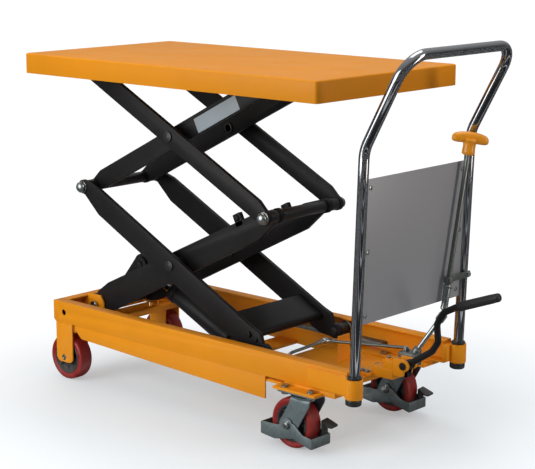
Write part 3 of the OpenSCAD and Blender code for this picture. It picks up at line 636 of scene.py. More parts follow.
def metal_finish(name, colour, roughness, crystal=0.0, crystal_scale=70.0, grain=0.08, smudge=0.14,
                 metallic=1.0, dark=0.75, dust=0.25, bump=0.15):
    """Plated or galvanised metal: crystal blotches, grain in the gloss, smudges and floor dust."""
    f = Finish(name)
    metal = f.group("metal_grain", Crystal=crystal_scale)
    grime = f.group("handling_grime", Dust_Top=0.12)
    t = f.tree
    tone = mix_colour(t, math_node(t, "MULTIPLY", metal["Crystal"], crystal), colour,
                      tuple(c * dark for c in colour))
    tone = mix_colour(t, math_node(t, "MULTIPLY", grime["Smudge"], 0.35), tone,
                      tuple(c * 0.8 for c in colour))
    tone = mix_colour(t, math_node(t, "MULTIPLY", grime["Dust"], dust), tone, (0.34, 0.31, 0.27))
    f.feed("Base Color", tone)
    rough = math_node(t, "ADD", spread(t, grime["Smudge"], 0.0, 1.0, roughness, roughness + smudge),
                      math_node(t, "MULTIPLY", metal["Grain"], grain), True)
    f.feed("Roughness",
           math_node(t, "ADD", rough, math_node(t, "MULTIPLY", metal["Crystal"], crystal * 0.15),
                     True))
    f.bump(math_node(t, "ADD", metal["Grain"], math_node(t, "MULTIPLY", grime["Scratch"], -0.6)),
           bump, 0.0002)
    f.constant(Metallic=metallic)
    return f


def moulded_finish(name, colour, roughness, grain_scale=1400.0, strength=0.2, light=1.5, dust=0.4,
                   subsurface=0.0, coat=0.0, specular=0.5):
    """Moulded plastic, rubber or cast tread: stippled skin, rubbed patches and floor dust."""
    f = Finish(name)
    skin, grime = f.group("sprayed_skin", Peel=grain_scale, Drift=14.0), f.group("handling_grime",
                                                                                 Dust_Top=0.14)
    t = f.tree
    tone = mix_colour(t, math_node(t, "MULTIPLY", skin["Drift"], 0.6), colour,
                      tuple(min(1, c * light) for c in colour))
    tone = mix_colour(t, math_node(t, "MULTIPLY", grime["Dust"], dust), tone, (0.36, 0.31, 0.27))
    f.feed("Base Color", tone)
    f.feed("Roughness",
           math_node(t, "ADD", spread(t, grime["Smudge"], 0.0, 1.0, roughness, roughness + 0.14),
                                  math_node(t, "MULTIPLY", grime["Dust"], 0.3), True))
    f.bump(math_node(t, "ADD", skin["Height"], math_node(t, "MULTIPLY", grime["Scratch"], -0.8)),
           strength, 0.0003)
    f.constant(Metallic=0.0, Subsurface_Weight=subsurface, Subsurface_Scale=0.004, Coat_Weight=coat,
               Coat_Roughness=0.15, Specular_IOR_Level=specular)
    return f


class LIFT_OT_finishes(bpy.types.Operator):
    """Builds the shared shader groups and every finish of the lift table"""
    bl_idname = "lift.finishes"
    bl_label = "Finishes"

    def execute(self, context):
        c = context.scene.lift_colours
        make_skin_group()
        make_grime_group()
        make_grain_group()
        sprayed_finish("powder_orange", tuple(c.coat), 0.46, 420.0, 0.14, 0.93, dust=0.16,
                       scratch=0.2, specular=0.26)
        sprayed_finish("satin_black", tuple(c.black), 0.42, 300.0, 0.16, 1.6, (0.16, 0.15, 0.14),
                       (0.10, 0.10, 0.10), dust=0.08, scratch=0.35, specular=0.22)
        sprayed_finish("panel_grey", tuple(c.panel), 0.24, 520.0, 0.06, 0.94, (0.40, 0.39, 0.37),
                       (0.5, 0.5, 0.52), dust=0.1, scratch=0.25)
        sprayed_finish("plate_pale", (0.42, 0.50, 0.56), 0.34, 700.0, 0.05, 0.9, dust=0.0,
                       scratch=0.3)
        metal_finish("zinc_bright", tuple(c.zinc), 0.20, crystal=0.25, crystal_scale=240.0,
                     dark=0.8)
        metal_finish("steel_pipe", (0.22, 0.25, 0.24), 0.30, crystal=0.3, crystal_scale=120.0,
                     dark=0.6)
        metal_finish("galvanised", tuple(c.galvanised), 0.40, crystal=0.9, crystal_scale=95.0,
                     dark=0.72,
                     metallic=0.85, bump=0.3)
        metal_finish("handle_chrome", tuple(c.chrome), 0.05, crystal=0.0, grain=0.03, smudge=0.07,
                     dust=0.0,
                     bump=0.02)
        metal_finish("shaft_dark", (0.055, 0.057, 0.06), 0.30, crystal=0.3, crystal_scale=160.0,
                     metallic=0.7)
        moulded_finish("tyre_red", tuple(c.tyre), 0.36, 900.0, 0.08, 1.25, dust=0.12,
                       subsurface=0.04, coat=0.05,
                        specular=0.4)
        moulded_finish("hub_nylon", tuple(c.nylon), 0.42, 1400.0, 0.22, 1.8, dust=0.28)
        moulded_finish("grip_rubber", tuple(c.rubber), 0.55, 1200.0, 0.35, 2.2, dust=0.0,
                       specular=0.4)
        moulded_finish("knob_plastic", tuple(c.knob), 0.28, 1100.0, 0.06, 1.08, dust=0.0, coat=0.15)
        return {"FINISHED"}


# ---------------------------------------------------------------- shapes in millimetres

def spot(x, y, z):
    """Frame point of a station given in millimetres from the middle of the deck."""
    return np.array([at(x), y * MM, z * MM])


def spots(points):
    """Frame points of several stations."""
    return np.stack([spot(*p) for p in points])


def turned(profile, centre, axis="y", count=64, corner=0.0, closed=False):
    """Profile (along, radius) in millimetres with rounded corners, turned about an axis."""
    p = np.asarray(profile, float)
    if corner:
        p = fillet(p, corner, closed=closed, steps=4)
    u, v, w = basis(axis)
    c = ring(1.0, count)
    grid = (np.asarray(centre, float) + p[:, None, :1] * MM * w
            + p[:, None, 1:] * MM * (c[None, :, :1] * u + c[None, :, 1:] * v))
    return surface(grid, wrap_rows=closed)


def round_bar(centre, radius, start, end, axis="y", edge=0.8):
    """Round bar between two stations along an axis, in millimetres, with rounded rims."""
    return turned([(start, radius - edge), (start + edge * 0.3, radius - edge * 0.3),
                   (start + edge, radius),
                   (end - edge, radius), (end - edge * 0.3, radius - edge * 0.3),
                   (end, radius - edge)],
                  centre, axis, BAR_SIDES)


def collar(centre, bore, radius, start, end, axis="y", edge=0.8, count=48):
    """Ring with an open bore."""
    return turned([(start, bore), (start, radius), (end, radius), (end, bore)], centre, axis, count,
                  edge, closed=True)


def toward(y):
    """Axis that points away from the centre line on the side of y."""
    return (0.0, math.copysign(1.0, y), 0.0)


def outline(stations, radius=3.0):
    """Closed outline in metres, from millimetres and degrees.

    A station is a corner (x, z) or (x, z, radius), or an arc (x, z, radius, from, to).
    """
    points, radii = [], []
    for s in stations:
        if len(s) == 5:
            t = np.radians(np.linspace(s[3], s[4], 15))
            points.append(np.array(s[:2]) + s[2] * np.stack([np.cos(t), np.sin(t)], -1))
            radii.append(np.zeros(15))
        else:
            points.append(np.array([s[:2]], float))
            radii.append(np.array([s[2] if len(s) == 3 else radius], float))
    return fillet(np.concatenate(points), np.concatenate(radii), closed=True, steps=5) * MM


def placed(shape):
    """Outline from deck-centred X to frame X."""
    return shape + np.array([MID_X, 0.0])


def block(x, y, z, edge=0.8, corner=2.0, plane="xy"):
    """Plate from ranges in millimetres with rounded corners and rims."""
    spans = {"xy": (x, y, z), "xz": (x, z, y), "yz": (y, z, x)}[plane]
    (a, b), (c, d), (e, f) = spans
    shape = outline([(a, c), (b, c), (b, d), (a, d)], corner)
    if plane != "yz":
        shape = placed(shape)
        return plate(shape, e * MM, f * MM, edge * MM, plane)
    return plate(shape, at(e), at(f), edge * MM, plane)


def hex_head(centre, across, length, axis="y", turn=0.0):
    """Hexagon head or nut from sizes in millimetres."""
    return hex_solid(across * MM, length * MM, centre, axis, turn)


def domed_nut(centre, axis):
    """Cap nut: hexagon root, then a dome of radius r cos a."""
    radius, height = NUT_RADIUS, NUT_HEIGHT
    a = np.linspace(0.15, math.pi / 2 - 0.08, 10)
    dome = np.stack([height * 0.42 + height * 0.62 * np.sin(a), radius * 0.90 * np.cos(a)], -1)
    return [hex_head(centre, radius * 1.82, height * 0.5, axis, 0.3),
            turned(np.concatenate([[(0.5, radius * 0.6), (height * 0.4, radius * 0.89)], dome]),
                   centre, axis)]


def bead(points, radius=None, seed=0.0):
    """Weld bead through stations in millimetres."""
    sizes = bpy.context.scene.lift_sizes
    return weld_bead(spots(points), radius * MM if radius else sizes.bead, seed)


# ---------------------------------------------------------------- deck

class LIFT_OT_deck(bpy.types.Operator):
    """Folded deck tray with rounded edges, roller channels and pivot brackets under it"""
    bl_idname = "lift.deck"
    bl_label = "Deck"

    def execute(self, context):
        a, b = low("deck"), high("deck")
        half, top, fold = (b - a)[:2] / 2, b[2], context.scene.lift_sizes.fold
        t = np.linspace(0, math.pi / 2, 7)
        depth, corner = top - a[2], 9 * MM
        outer = np.stack([fold * (1 - np.sin(t)), fold * (np.cos(t) - 1)], -1)
        rim = np.array([(0, 0.8), (0.25, 0.25), (0.8, 0), (2.2, 0), (2.75, 0.25), (3, 0.8)]) * MM
        rim[:, 1] -= depth
        inner = np.array([(3.0, -9.0), (3.4, -6.2), (4.6, -4.6), (7.0, -4.0)]) * MM
        section = np.concatenate([outer, rim, inner])
        rings = []
        for gap, level in section:
            x, y = half - gap
            flat = fillet([(-x, -y), (x, -y), (x, y), (-x, y)], max(corner - gap, 1.2 * MM), True,
                          8)
            rings.append(np.column_stack([flat + (a + b)[:2] / 2, np.full(len(flat), top + level)]))
        build("deck_tray", [surface(np.stack(rings))], "lift_deck", "powder_orange",
              ("deck",), 40)
        eased_copy("deck_channels", "roller_channels", "powder_orange", 0.0006)
        eased_copy("deck_pivots", "deck_pivot_brackets", "powder_orange", 0.0008)
        seams = []
        for side in SIDES:
            y = side * 122.4
            for x in (70, 150, 230, 310):
                seams.append(bead([(x, y, 885.3), (x + 22, y, 885.3)], 2.2, x))
        build("channel_welds", seams, "lift_deck", "powder_orange")
        return {"FINISHED"}


# ---------------------------------------------------------------- scissor arms

def lower_arm(tail):
    """Deep arm plate cut back at its root u = 0; the far end follows the tail stations."""
    span = ARM_LENGTH / MM
    return outline([(0, 0, 19, 79, 305), (16, -15, 2), (84, -34, 14),
                    (span - 40, -34, 10)] + tail(span) + [(60, 29, 10)])


def narrow_tail(span):
    """Far end of a lower arm of the narrow pair."""
    return [(span - 12, -26), (span, 0, 20, -90, 85), (span - 20, 34, 6), (span - 70, 42, 10)]


def wide_tail(span):
    """Far end of a lower arm of the wide pair."""
    return [(span, 0, 20, -90, 136), (span - 32, 33, 4), (span - 60, 30, 6)]


def upper_arm():
    """Slim arm plate with a rounded eye at each end."""
    span = ARM_LENGTH / MM
    return outline([(0, 0, 18, 82, 283), (40, -22, 12), (span - 40, -22, 12),
                    (span, 0, 18, -103, 107),
                    (span - 50, 28, 10), (36, 28, 10)])


def flipped(shape):
    """Arm outline with its two ends swapped."""
    return np.stack([ARM_LENGTH - shape[:, 0], shape[:, 1]], -1)


NARROW, WIDE = (84.5, 96.5), (129.0, 141.0)  # inner and outer face of each arm pair
NARROW_INSIDE, WIDE_INSIDE = 84.48, 128.98


def arm_pair(shape, plane, origin, angle, rim):
    """One outline as two plates, one on each side, sloped about its own root."""
    start, end = plane
    one = sloped(plate(shape, -end * MM, -start * MM, rim), origin, angle)
    return both_sides([one])


def on_arm(u, w=0.0, y=0.0):
    """Point of an arm drawn along X, before it is sloped."""
    return np.array([u * MM, y * MM, w * MM])


class LIFT_OT_arms(bpy.types.Operator):
    """Eight arm plates with rest blocks, tie tubes, cross plate, ram lugs and a rating plate"""
    bl_idname = "lift.arms"
    bl_label = "Scissor arms"

    def execute(self, context):
        rim = context.scene.lift_sizes.rim
        parts = arm_pair(flipped(lower_arm(narrow_tail)), NARROW, BASE_PIVOT, ARM_SLOPE, rim)
        rest = outline([(596, 18, 0), (622, 18, 0), (622, 51, 3), (596, 51, 3)])
        parts += arm_pair(rest, NARROW, BASE_PIVOT, ARM_SLOPE, rim)
        for side in SIDES:
            parts.append(sloped(hex_head(on_arm(609, 40, side * 96.4), 13, 5, toward(side)),
                                BASE_PIVOT, ARM_SLOPE))
        build("lower_narrow_arm_plates", parts, "lower_fixed_arms", "satin_black",
              ("lower_narrow_arms",))
        parts = arm_pair(lower_arm(wide_tail), WIDE, LEFT_ELBOW, -ARM_SLOPE, rim)
        build("lower_wide_arm_plates", parts, "lower_rolling_arms", "satin_black",
              ("lower_wide_arms",))
        parts = arm_pair(upper_arm(), NARROW, LEFT_ELBOW, ARM_SLOPE, rim)
        build("upper_narrow_arm_plates", parts, "upper_rolling_arms", "satin_black",
              ("upper_narrow_arms",))
        parts = arm_pair(flipped(upper_arm()), WIDE, DECK_PIVOT, -ARM_SLOPE, rim)
        build("upper_wide_arm_plates", parts, "upper_fixed_arms", "satin_black",
              ("upper_wide_arms",))
        tag = outline([(431, -20), (591, -20), (591, 18), (431, 18)], 2.0)
        build("rating_plate",
              [sloped(plate(tag, -97.1 * MM, -96.45 * MM, 0.2 * MM), LEFT_ELBOW, ARM_SLOPE)],
              "upper_rolling_arms", "plate_pale")
        tubes = [sloped(round_bar(on_arm(0), 17, -NARROW_INSIDE, NARROW_INSIDE), BASE_PIVOT,
                        ARM_SLOPE),
                 sloped(round_bar(on_arm(95, 10), 15, -NARROW_INSIDE, NARROW_INSIDE), BASE_PIVOT,
                        ARM_SLOPE)]
        for side in SIDES:
            for u, w, r in ((0, 0, 17), (95, 10, 15)):
                t = np.linspace(0, 2 * math.pi, 40)
                loop = np.stack([(u + r * np.cos(t)) * MM, np.full(40, side * 83.8 * MM),
                                 (w + r * np.sin(t)) * MM], -1)
                tubes.append(sloped(weld_bead(loop, 2.2 * MM, u), BASE_PIVOT, ARM_SLOPE))
        build("lower_tie_tubes", tubes, "lower_fixed_arms", "satin_black",
              ("lower_arm_tubes",))
        cross = [plate(outline([(598, -WIDE_INSIDE), (678, -WIDE_INSIDE), (678, WIDE_INSIDE),
                                (598, WIDE_INSIDE)], 1.0), 12 * MM, 18 * MM,
                       0.8 * MM, "xy"), round_bar(on_arm(675, 6), 12, -WIDE_INSIDE, WIDE_INSIDE)]
        for side in SIDES:
            cross.append(hex_head(on_arm(675, 10, side * 141.02), 15, 6.5, toward(side)))
            cross.append(hex_head(on_arm(701, 12, side * 141.02), 9.5, 4.8, toward(side)))
            cross.append(weld_bead(np.stack([on_arm(602, 11.6, side * 128),
                                             on_arm(672, 11.6, side * 128)]), 2.2 * MM))
        build("cross_plate", all_sloped(cross, LEFT_ELBOW, -ARM_SLOPE), "lower_rolling_arms",
              "satin_black", ("arm_cross_plate",))
        eased_copy("ram_lugs", "ram_lug_plates", "satin_black", 0.0008)
        return {"FINISHED"}


# ---------------------------------------------------------------- scissor pins

def centre_pins(u):
    """Dark pin with collars and a bush between the two arm planes."""
    parts = []
    for side in SIDES:
        axis = toward(side)
        parts += [round_bar(on_arm(u), 10, 79.5, 145, axis),
                  round_bar(on_arm(u), 14, 141.5, 145, axis, 1.0),
                  turned([(145, 9), (145.6, 5.5), (146.3, 2.0)], on_arm(u), axis),
                  round_bar(on_arm(u), 16, 97, 128.5, axis),
                  round_bar(on_arm(u), 14, 79.5, 84, axis)]
    return parts


def joint_shaft(u):
    """Tube across the arms with bushes; the cap nuts are listed apart."""
    parts, nuts = [round_bar(on_arm(u), 15, -84, 84)], []
    for side in SIDES:
        axis = toward(side)
        parts += [round_bar(on_arm(u), 10, 80, 146, axis),
                  round_bar(on_arm(u), 16, 97, 128.5, axis)]
        nuts += [round_bar(on_arm(u), 16, 141.5, 144.2, axis, 0.7),
                 *domed_nut(on_arm(u, 0, side * 144), axis)]
    return parts, nuts


class LIFT_OT_pins(bpy.types.Operator):
    """Scissor shafts, bushes and cap nuts"""
    bl_idname = "lift.pins"
    bl_label = "Scissor pins"

    def execute(self, context):
        span = ARM_LENGTH / MM
        tubes, nuts = joint_shaft(span)
        build("right_joint_shaft", all_sloped(tubes + centre_pins(span / 2), BASE_PIVOT, ARM_SLOPE),
              "lower_fixed_arms",
              "shaft_dark", ("lower_narrow_pins",))
        build("right_cap_nuts", all_sloped(nuts, BASE_PIVOT, ARM_SLOPE), "lower_fixed_arms",
              "zinc_bright")
        tubes, nuts = joint_shaft(0)
        for side in SIDES:
            tubes += [round_bar(on_arm(span), 10, 125, 195.5, toward(side)),
                      round_bar(on_arm(span), 15, 141.5, 172, toward(side))]
        build("left_joint_shaft", all_sloped(tubes, LEFT_ELBOW, -ARM_SLOPE), "lower_rolling_arms",
              "shaft_dark", ("lower_wide_pins",))
        build("left_cap_nuts", all_sloped(nuts, LEFT_ELBOW, -ARM_SLOPE), "lower_rolling_arms",
              "zinc_bright")
        pins = centre_pins(span / 2)
        for side in SIDES:
            pins += [round_bar(on_arm(span), 10, 80.5, 123.5, toward(side)),
                     round_bar(on_arm(span), 13, 80.5, 84, toward(side))]
        build("upper_centre_pins", all_sloped(pins, LEFT_ELBOW, ARM_SLOPE), "upper_rolling_arms",
              "shaft_dark", ("upper_narrow_pins",))
        for place, ends, shoulder, name, body, node in (
                (DECK_ROLLER, (100.5, 122.5), 1.5, "deck_guide_rollers", "deck_roller_pair",
                 "deck_rollers"),
                (BASE_ROLLER, (175, 198), 1.4, "base_guide_rollers", "base_roller_pair",
                 "base_rollers")):
            near, far = ends
            profile = [(near, 10.1), (near, 17.6), (near + shoulder, 19), (far - shoulder, 19),
                       (far, 17.6), (far, 10.1)]
            rollers = [turned(profile, np.array([place[0], 0, place[1]]), toward(side), 72, 0.5,
                              closed=True)
                       for side in SIDES]
            build(name, rollers, body, "zinc_bright", (node,))
        shaft = []
        for side in SIDES:
            shaft += [round_bar(spot(*BASE_SHAFT), 10, 0, 110, toward(side)),
                      collar(spot(*BASE_SHAFT), 9.8, 13, 107.5, 113.5, toward(side), 1.0),
                      turned([(110, 9.4), (111.6, 6.4), (112.2, 2.0)], spot(*BASE_SHAFT),
                             toward(side))]
        build("base_shaft", shaft, "chassis", "zinc_bright", ("base_pivot_shaft",))
        return {"FINISHED"}


# ---------------------------------------------------------------- base

class LIFT_OT_base(bpy.types.Operator):
    """Channel rails, skirts, cross members, pan, leg plates, brackets, sockets and welds"""
    bl_idname = "lift.base"
    bl_label = "Base frame"

    def execute(self, context):
        for node, name, edge in (
                ("side_rail_l", "rail_left", 1.4), ("side_rail_r", "rail_right", 1.4),
                ("side_skirts", "skirts", 0.9),
                ("end_cross_member", "end_member", 1.0),
                ("cylinder_cross_member", "cylinder_member", 0.9),
                ("base_pan", "pan", 0.8), ("leg_plates", "wheel_leg_plates", 1.0),
                ("base_pivot_brackets", "pivot_brackets", 0.8),
                ("caster_mounts", "caster_mount_plates", 1.0),
                ("handle_sockets", "handle_socket_tubes", 1.8)):
            eased_copy(node, name, "powder_orange", edge * MM)
        eased_copy("roller_tracks", "roller_track_strips", "galvanised", 0.5 * MM)
        seams = []
        for side in SIDES:
            y = side * 203.4
            seams += [bead([(-472, y, 159.6), (-412, y, 159.6)], 1.6),
                      bead([(546.6, y, 168), (546.6, y, 206)], 2.4),
                      bead([(433, side * 205, 210.2), (546, side * 205, 210.2)], 2.4, 1.0),
                      bead([(431.8, side * 205, 168), (431.8, side * 205, 208)], 2.2, 2.0),
                      bead([(-447, side * 104.2, 164.6), (-394, side * 104.2, 164.6)], 2.2),
                      bead([(-20, side * 197, 120.4), (46, side * 197, 120.4)], 2.2, 1.4),
                      bead([(-18, side * 28.4, 120.6), (31, side * 28.4, 120.6)], 2.0)]
            t = np.linspace(-2.2, 2.2, 30)
            seams.append(weld_bead(np.stack([at(566.5) - 21.4 * MM * np.cos(t),
                                             side * 204 * MM + 21.4 * MM * np.sin(t),
                                             np.full(30, 167.5 * MM)], -1)[::-1], 1.8 * MM))
        seams += [bead([(-454.6, -165, 161), (-454.6, 165, 161)], 2.2),
                  bead([(323, 33, 150.6), (323, 75, 150.6)], 2.0)]
        build("frame_welds", seams, "chassis", "powder_orange")
        studs = []
        for side in SIDES:
            axis = toward(side)
            centre = spot(FIXED_AXLE_X, 0, AXLE_Z)
            studs += [round_bar(centre, 8, 144, 203.2, axis),
                      turned([(203.2, 7.4), (204.4, 6.6), (204.8, 3.4), (203.9, 2.2)],
                                                                   centre, axis),
                      hex_head(spot(FIXED_AXLE_X, side * 146.8, AXLE_Z), 22.5, 7.9, toward(-side),
                               0.2)]
        build("wheel_axles", studs, "chassis", "zinc_bright", ("fixed_axles",))
        return {"FINISHED"}


# ---------------------------------------------------------------- wheels

def tyre(x, z, y):
    """Cast tread turned about Y: crowned face, shoulder arcs and a step beside the rim."""
    h = TYRE_WIDTH / 2
    profile = [(-h + 3.2, 45.9), (-h + 1.6, 48.5), (-h + 1.9, 50.2), (-h + 0.2, 52.4), (-h, 56.0),
               (-h + 2.2, 60.4),
               (-h + 7.5, 62.2), (0, 62.5), (h - 7.5, 62.2), (h - 2.2, 60.4), (h, 56.0),
               (h - 0.2, 52.4),
               (h - 1.9, 50.2), (h - 1.6, 48.5), (h - 3.2, 45.9)]
    return turned(profile, spot(x, y, z), "y", 112, 1.6, closed=True)


def hub(x, z, y, bore):
    """Dished hub turned about Y; eight ribs lift the web by a smooth step of cos(8 t)."""
    h = HUB_WIDTH / 2
    half = np.array([(0, 15.8), (0.8, 17.0), (8.0, 18.4), (9.6, 20.5), (11.0, 23.0), (11.0, 34.0),
                     (9.6, 36.8), (6.4, 39.4),
                     (4.2, 41.0), (3.8, 43.0), (5.0, 46.0)])
    near = np.column_stack([-h + half[:, 0], half[:, 1]])
    far = near[::-1] * (-1, 1)
    profile = np.concatenate([[(-h, bore)], near, far, [(h, bore)]])
    profile = fillet(profile, 0.9, closed=True, steps=3)
    t = np.arange(96) * 2 * math.pi / 96
    web = np.clip((profile[:, 1] - 18.0) / 4.0, 0, 1) * np.clip((39.5 - profile[:, 1]) / 3.5, 0, 1)
    rib = np.clip(np.cos(HUB_RIBS * t) * 2.2 - 1.2, 0, 1)
    along = profile[:, :1] * (1 + 0.42 * web[:, None] * rib[None, :])
    grid = np.stack([profile[:, 1:] * np.cos(t), along, profile[:, 1:] * np.sin(t)], -1) * MM
    return surface(grid + spot(x, y, z), wrap_rows=True)


class LIFT_OT_wheels(bpy.types.Operator):
    """Polyurethane tyres on moulded hubs, fixed and swivel"""
    bl_idname = "lift.wheels"
    bl_label = "Wheels"

    def execute(self, context):
        for side in SIDES:
            s = SIDE_NAMES[side]
            for kind, x, y, bore, body in (("fixed", FIXED_AXLE_X, FIXED_WHEEL_Y, 8.05,
                                            "fixed_wheel_"),
                                           ("caster", CASTER_AXLE_X, CASTER_Y, 6.05,
                                            "caster_wheel_")):
                build(f"{kind}_tread_{s}", [tyre(x, AXLE_Z, side * y)], body + s,
                      "tyre_red",
                      (f"{kind}_tyre_{s}",), 50)
                build(f"{kind}_hub_moulding_{s}", [hub(x, AXLE_Z, side * y, bore)], body + s,
                      "hub_nylon", (f"{kind}_hub_{s}",), 40)
        return {"FINISHED"}


# ---------------------------------------------------------------- swivel casters

def pressed_fork(side):
    """Strip bent over the crown: path (y, z) with bend arcs, half widths by height."""
    across = fillet([(-28, 44.5), (-28, 133), (28, 133), (28, 44.5)], [0, 9, 9, 0], steps=8)
    leg = np.linspace(0, 1, 28)
    run = np.concatenate([[0], np.cumsum(np.linalg.norm(np.diff(across, axis=0), axis=1))])
    bend = run[1]
    foot, shank = 17.5 * (1 - np.cos(leg[:14] / leg[13] * math.pi / 2)), np.linspace(19, bend, 14)
    stations = np.concatenate([foot, shank, run[2:-2], (run[-1] - shank)[::-1],
                               (run[-1] - foot)[::-1]])
    path = resample(across, stations)
    z = path[:, 1]
    left = np.interp(z, [44.5, 46.5, 50, 56, 62.5, 118, 133],
                     [374.0, 366.0, 359.0, 353.5, 352.0, 384.0, 387.0])
    right = np.interp(z, [44.5, 46.5, 50, 56, 62.5, 118, 133],
                      [389.0, 397.0, 404.0, 409.5, 413.0, 445.0, 446.5])
    path3 = np.column_stack([np.zeros(len(path)), path])
    _, lift, _ = path_frames(path3, np.array([1.0, 0.0, 0.0]))
    outward = lift * np.sign((lift * (path3 - np.array([0, 0, 90.0]))).sum(1))[:, None]
    e, rows = 0.7, []
    for w, n in ((e, 1.9), (0, 1.9 - e), (0, e - 1.9), (e, -1.9)):
        rows.append((left + w, n))
    for w, n in ((e, -1.9), (0, e - 1.9), (0, 1.9 - e), (e, 1.9)):
        rows.append((right - w, n))
    grid = np.stack([np.column_stack([x, path]) + outward * n for x, n in rows], 1)
    grid[..., 1] += side * CASTER_Y
    return surface(np.stack([MID_X + grid[..., 0] * MM, grid[..., 1] * MM, grid[..., 2] * MM], -1))


def brake_side(y):
    """Side strap of the brake frame, deep at the back end and waisted under the axle."""
    shape = outline([(297.5, 24, 3), (341, 19, 10), (399, 31, 16), (457.5, 16, 2.5),
                     (457.5, 42, 2.5), (428, 46, 12),
                     (401, 68, 8), (CASTER_AXLE_X, AXLE_Z, 15.5, 20, 160), (352, 56, 8),
                     (297.5, 54, 3)], 4.0)
    return plate(placed(shape), (y - 2) * MM, (y + 2) * MM, 0.7 * MM)


class LIFT_OT_casters(bpy.types.Operator):
    """Swivel casters: top plate, raceway, bent fork, axle bolt and brake frame"""
    bl_idname = "lift.casters"
    bl_label = "Casters"

    def execute(self, context):
        heads, plates = [], []
        for side in SIDES:
            s, y = SIDE_NAMES[side], side * CASTER_Y
            top = spot(SWIVEL_X, y, 0)
            plates += [block((353.5, 469.5), (y - 44, y + 44), (143.0, 147.96), 0.9, 9),
                       turned([(136.9, 16), (136.9, 31.4), (138.4, 33.8), (139.6, 33.2),
                               (139.8, 30.5), (140.3, 30.5),
                               (140.7, 35.0), (142.0, 36.2), (143.1, 36.0), (143.1, 16)], top, "z",
                              72, 0.3, closed=True),
                       turned([(124, 7.2), (124.8, 8), (144, 8)], top, "z"),
                       hex_head(top + [0, 0, 0.1245], 19, 5.4, "z")]
            for dx in (-40, 40):
                for dy in (-30, 30):
                    place = spot(SWIVEL_X + dx, y + dy, 0)
                    heads += [hex_head(place + [0, 0, 0.1555], 16.4, 5.0, "z", 0.35 * dx),
                              round_bar(place, 10.0, 154.02, 155.6, "z", 0.4),
                              round_bar(place, 5, 136.1, 155.0, "z"),
                              hex_head(place + [0, 0, 0.1364], 16.4, 6.4, "z", 0.2 + dy)]
            fork = [pressed_fork(side),
                    turned([(129.5, 12), (129.5, 30.5), (132.4, 36.2), (135.9, 36.9), (136, 12)],
                                               top, "z", 72, 0.6, closed=True)]
            for w in SIDES:
                fork.append(round_bar(spot(CASTER_AXLE_X, y, AXLE_Z), 6, 23.2, 38, toward(w)))
                fork.append(round_bar(spot(CASTER_AXLE_X, y, AXLE_Z), 10.4, 30, 30.9, toward(w),
                                      0.3))
            build(f"fork_pressing_{s}", fork, f"swivel_{s}", "galvanised",
                  (f"caster_fork_{s}",), 34)
            bolt = []
            for w in SIDES:
                bolt.append(round_bar(spot(CASTER_AXLE_X, y, AXLE_Z), 10.2, 35.4, 36.6, toward(w),
                                      0.4))
                bolt += [hex_head(spot(CASTER_AXLE_X, y + w * 36.6, AXLE_Z), 16.5, 5.0, toward(w),
                                  0.4),
                         turned([(41.5, 5.6), (42.0, 4.6)], spot(CASTER_AXLE_X, y, AXLE_Z),
                                toward(w))]
            build(f"axle_bolt_{s}", bolt, f"swivel_{s}", "zinc_bright")
            brake = [brake_side(y - 33), brake_side(y + 33),
                     block((453.6, 457.6), (y - 34.6, y + 34.6), (16.4, 41.6), 0.9, 3, "yz"),
                     block((297.4, 301.4), (y - 34.6, y + 34.6), (24.4, 53.6), 0.9, 3, "yz")]
            build(f"brake_frame_{s}", brake, f"brake_frame_{s}", "galvanised",
                  (f"caster_brake_{s}",), 34)
            rise = 76 if side < 0 else 66
            tab = plate(outline([(0, -12, 2), (26, -22, 6), (35, -15, 5), (33, 13, 5), (6, 11, 2),
                                 (-2, 10, 2)], 2.0),
                        0, 3.6 * MM, 1.0 * MM, "xy")
            points, faces = tab
            tilt = math.radians(-20)
            x, h = points[:, 0], points[:, 2]
            points = np.stack([at(451) + x * math.cos(tilt) - h * math.sin(tilt),
                               (y + 22) * MM + points[:, 1],
                               rise * MM + x * math.sin(tilt) + h * math.cos(tilt)], -1)
            stem = block((448.6, 453.4), (y + 10.5, y + 31.5), (38.0, rise + 1.0), 0.9, 3, "yz")
            build(f"brake_tab_{s}", [(points, faces), stem], f"brake_frame_{s}",
                  "shaft_dark")
        build("caster_top_plates", plates, "chassis", "galvanised", ("caster_plates",), 34)
        build("caster_plate_bolts", heads, "chassis", "zinc_bright",
              ("caster_bolts",))
        return {"FINISHED"}


# ---------------------------------------------------------------- push handle

LEAN = math.atan2(KINK_X - SOCKET_X, KINK_Z - SOCKET_Z)


def on_tube(y, along):
    """Point on the lower straight of the handle, in millimetres along the tube from its socket."""
    return spot(SOCKET_X + along * math.sin(LEAN), y, SOCKET_Z + along * math.cos(LEAN))


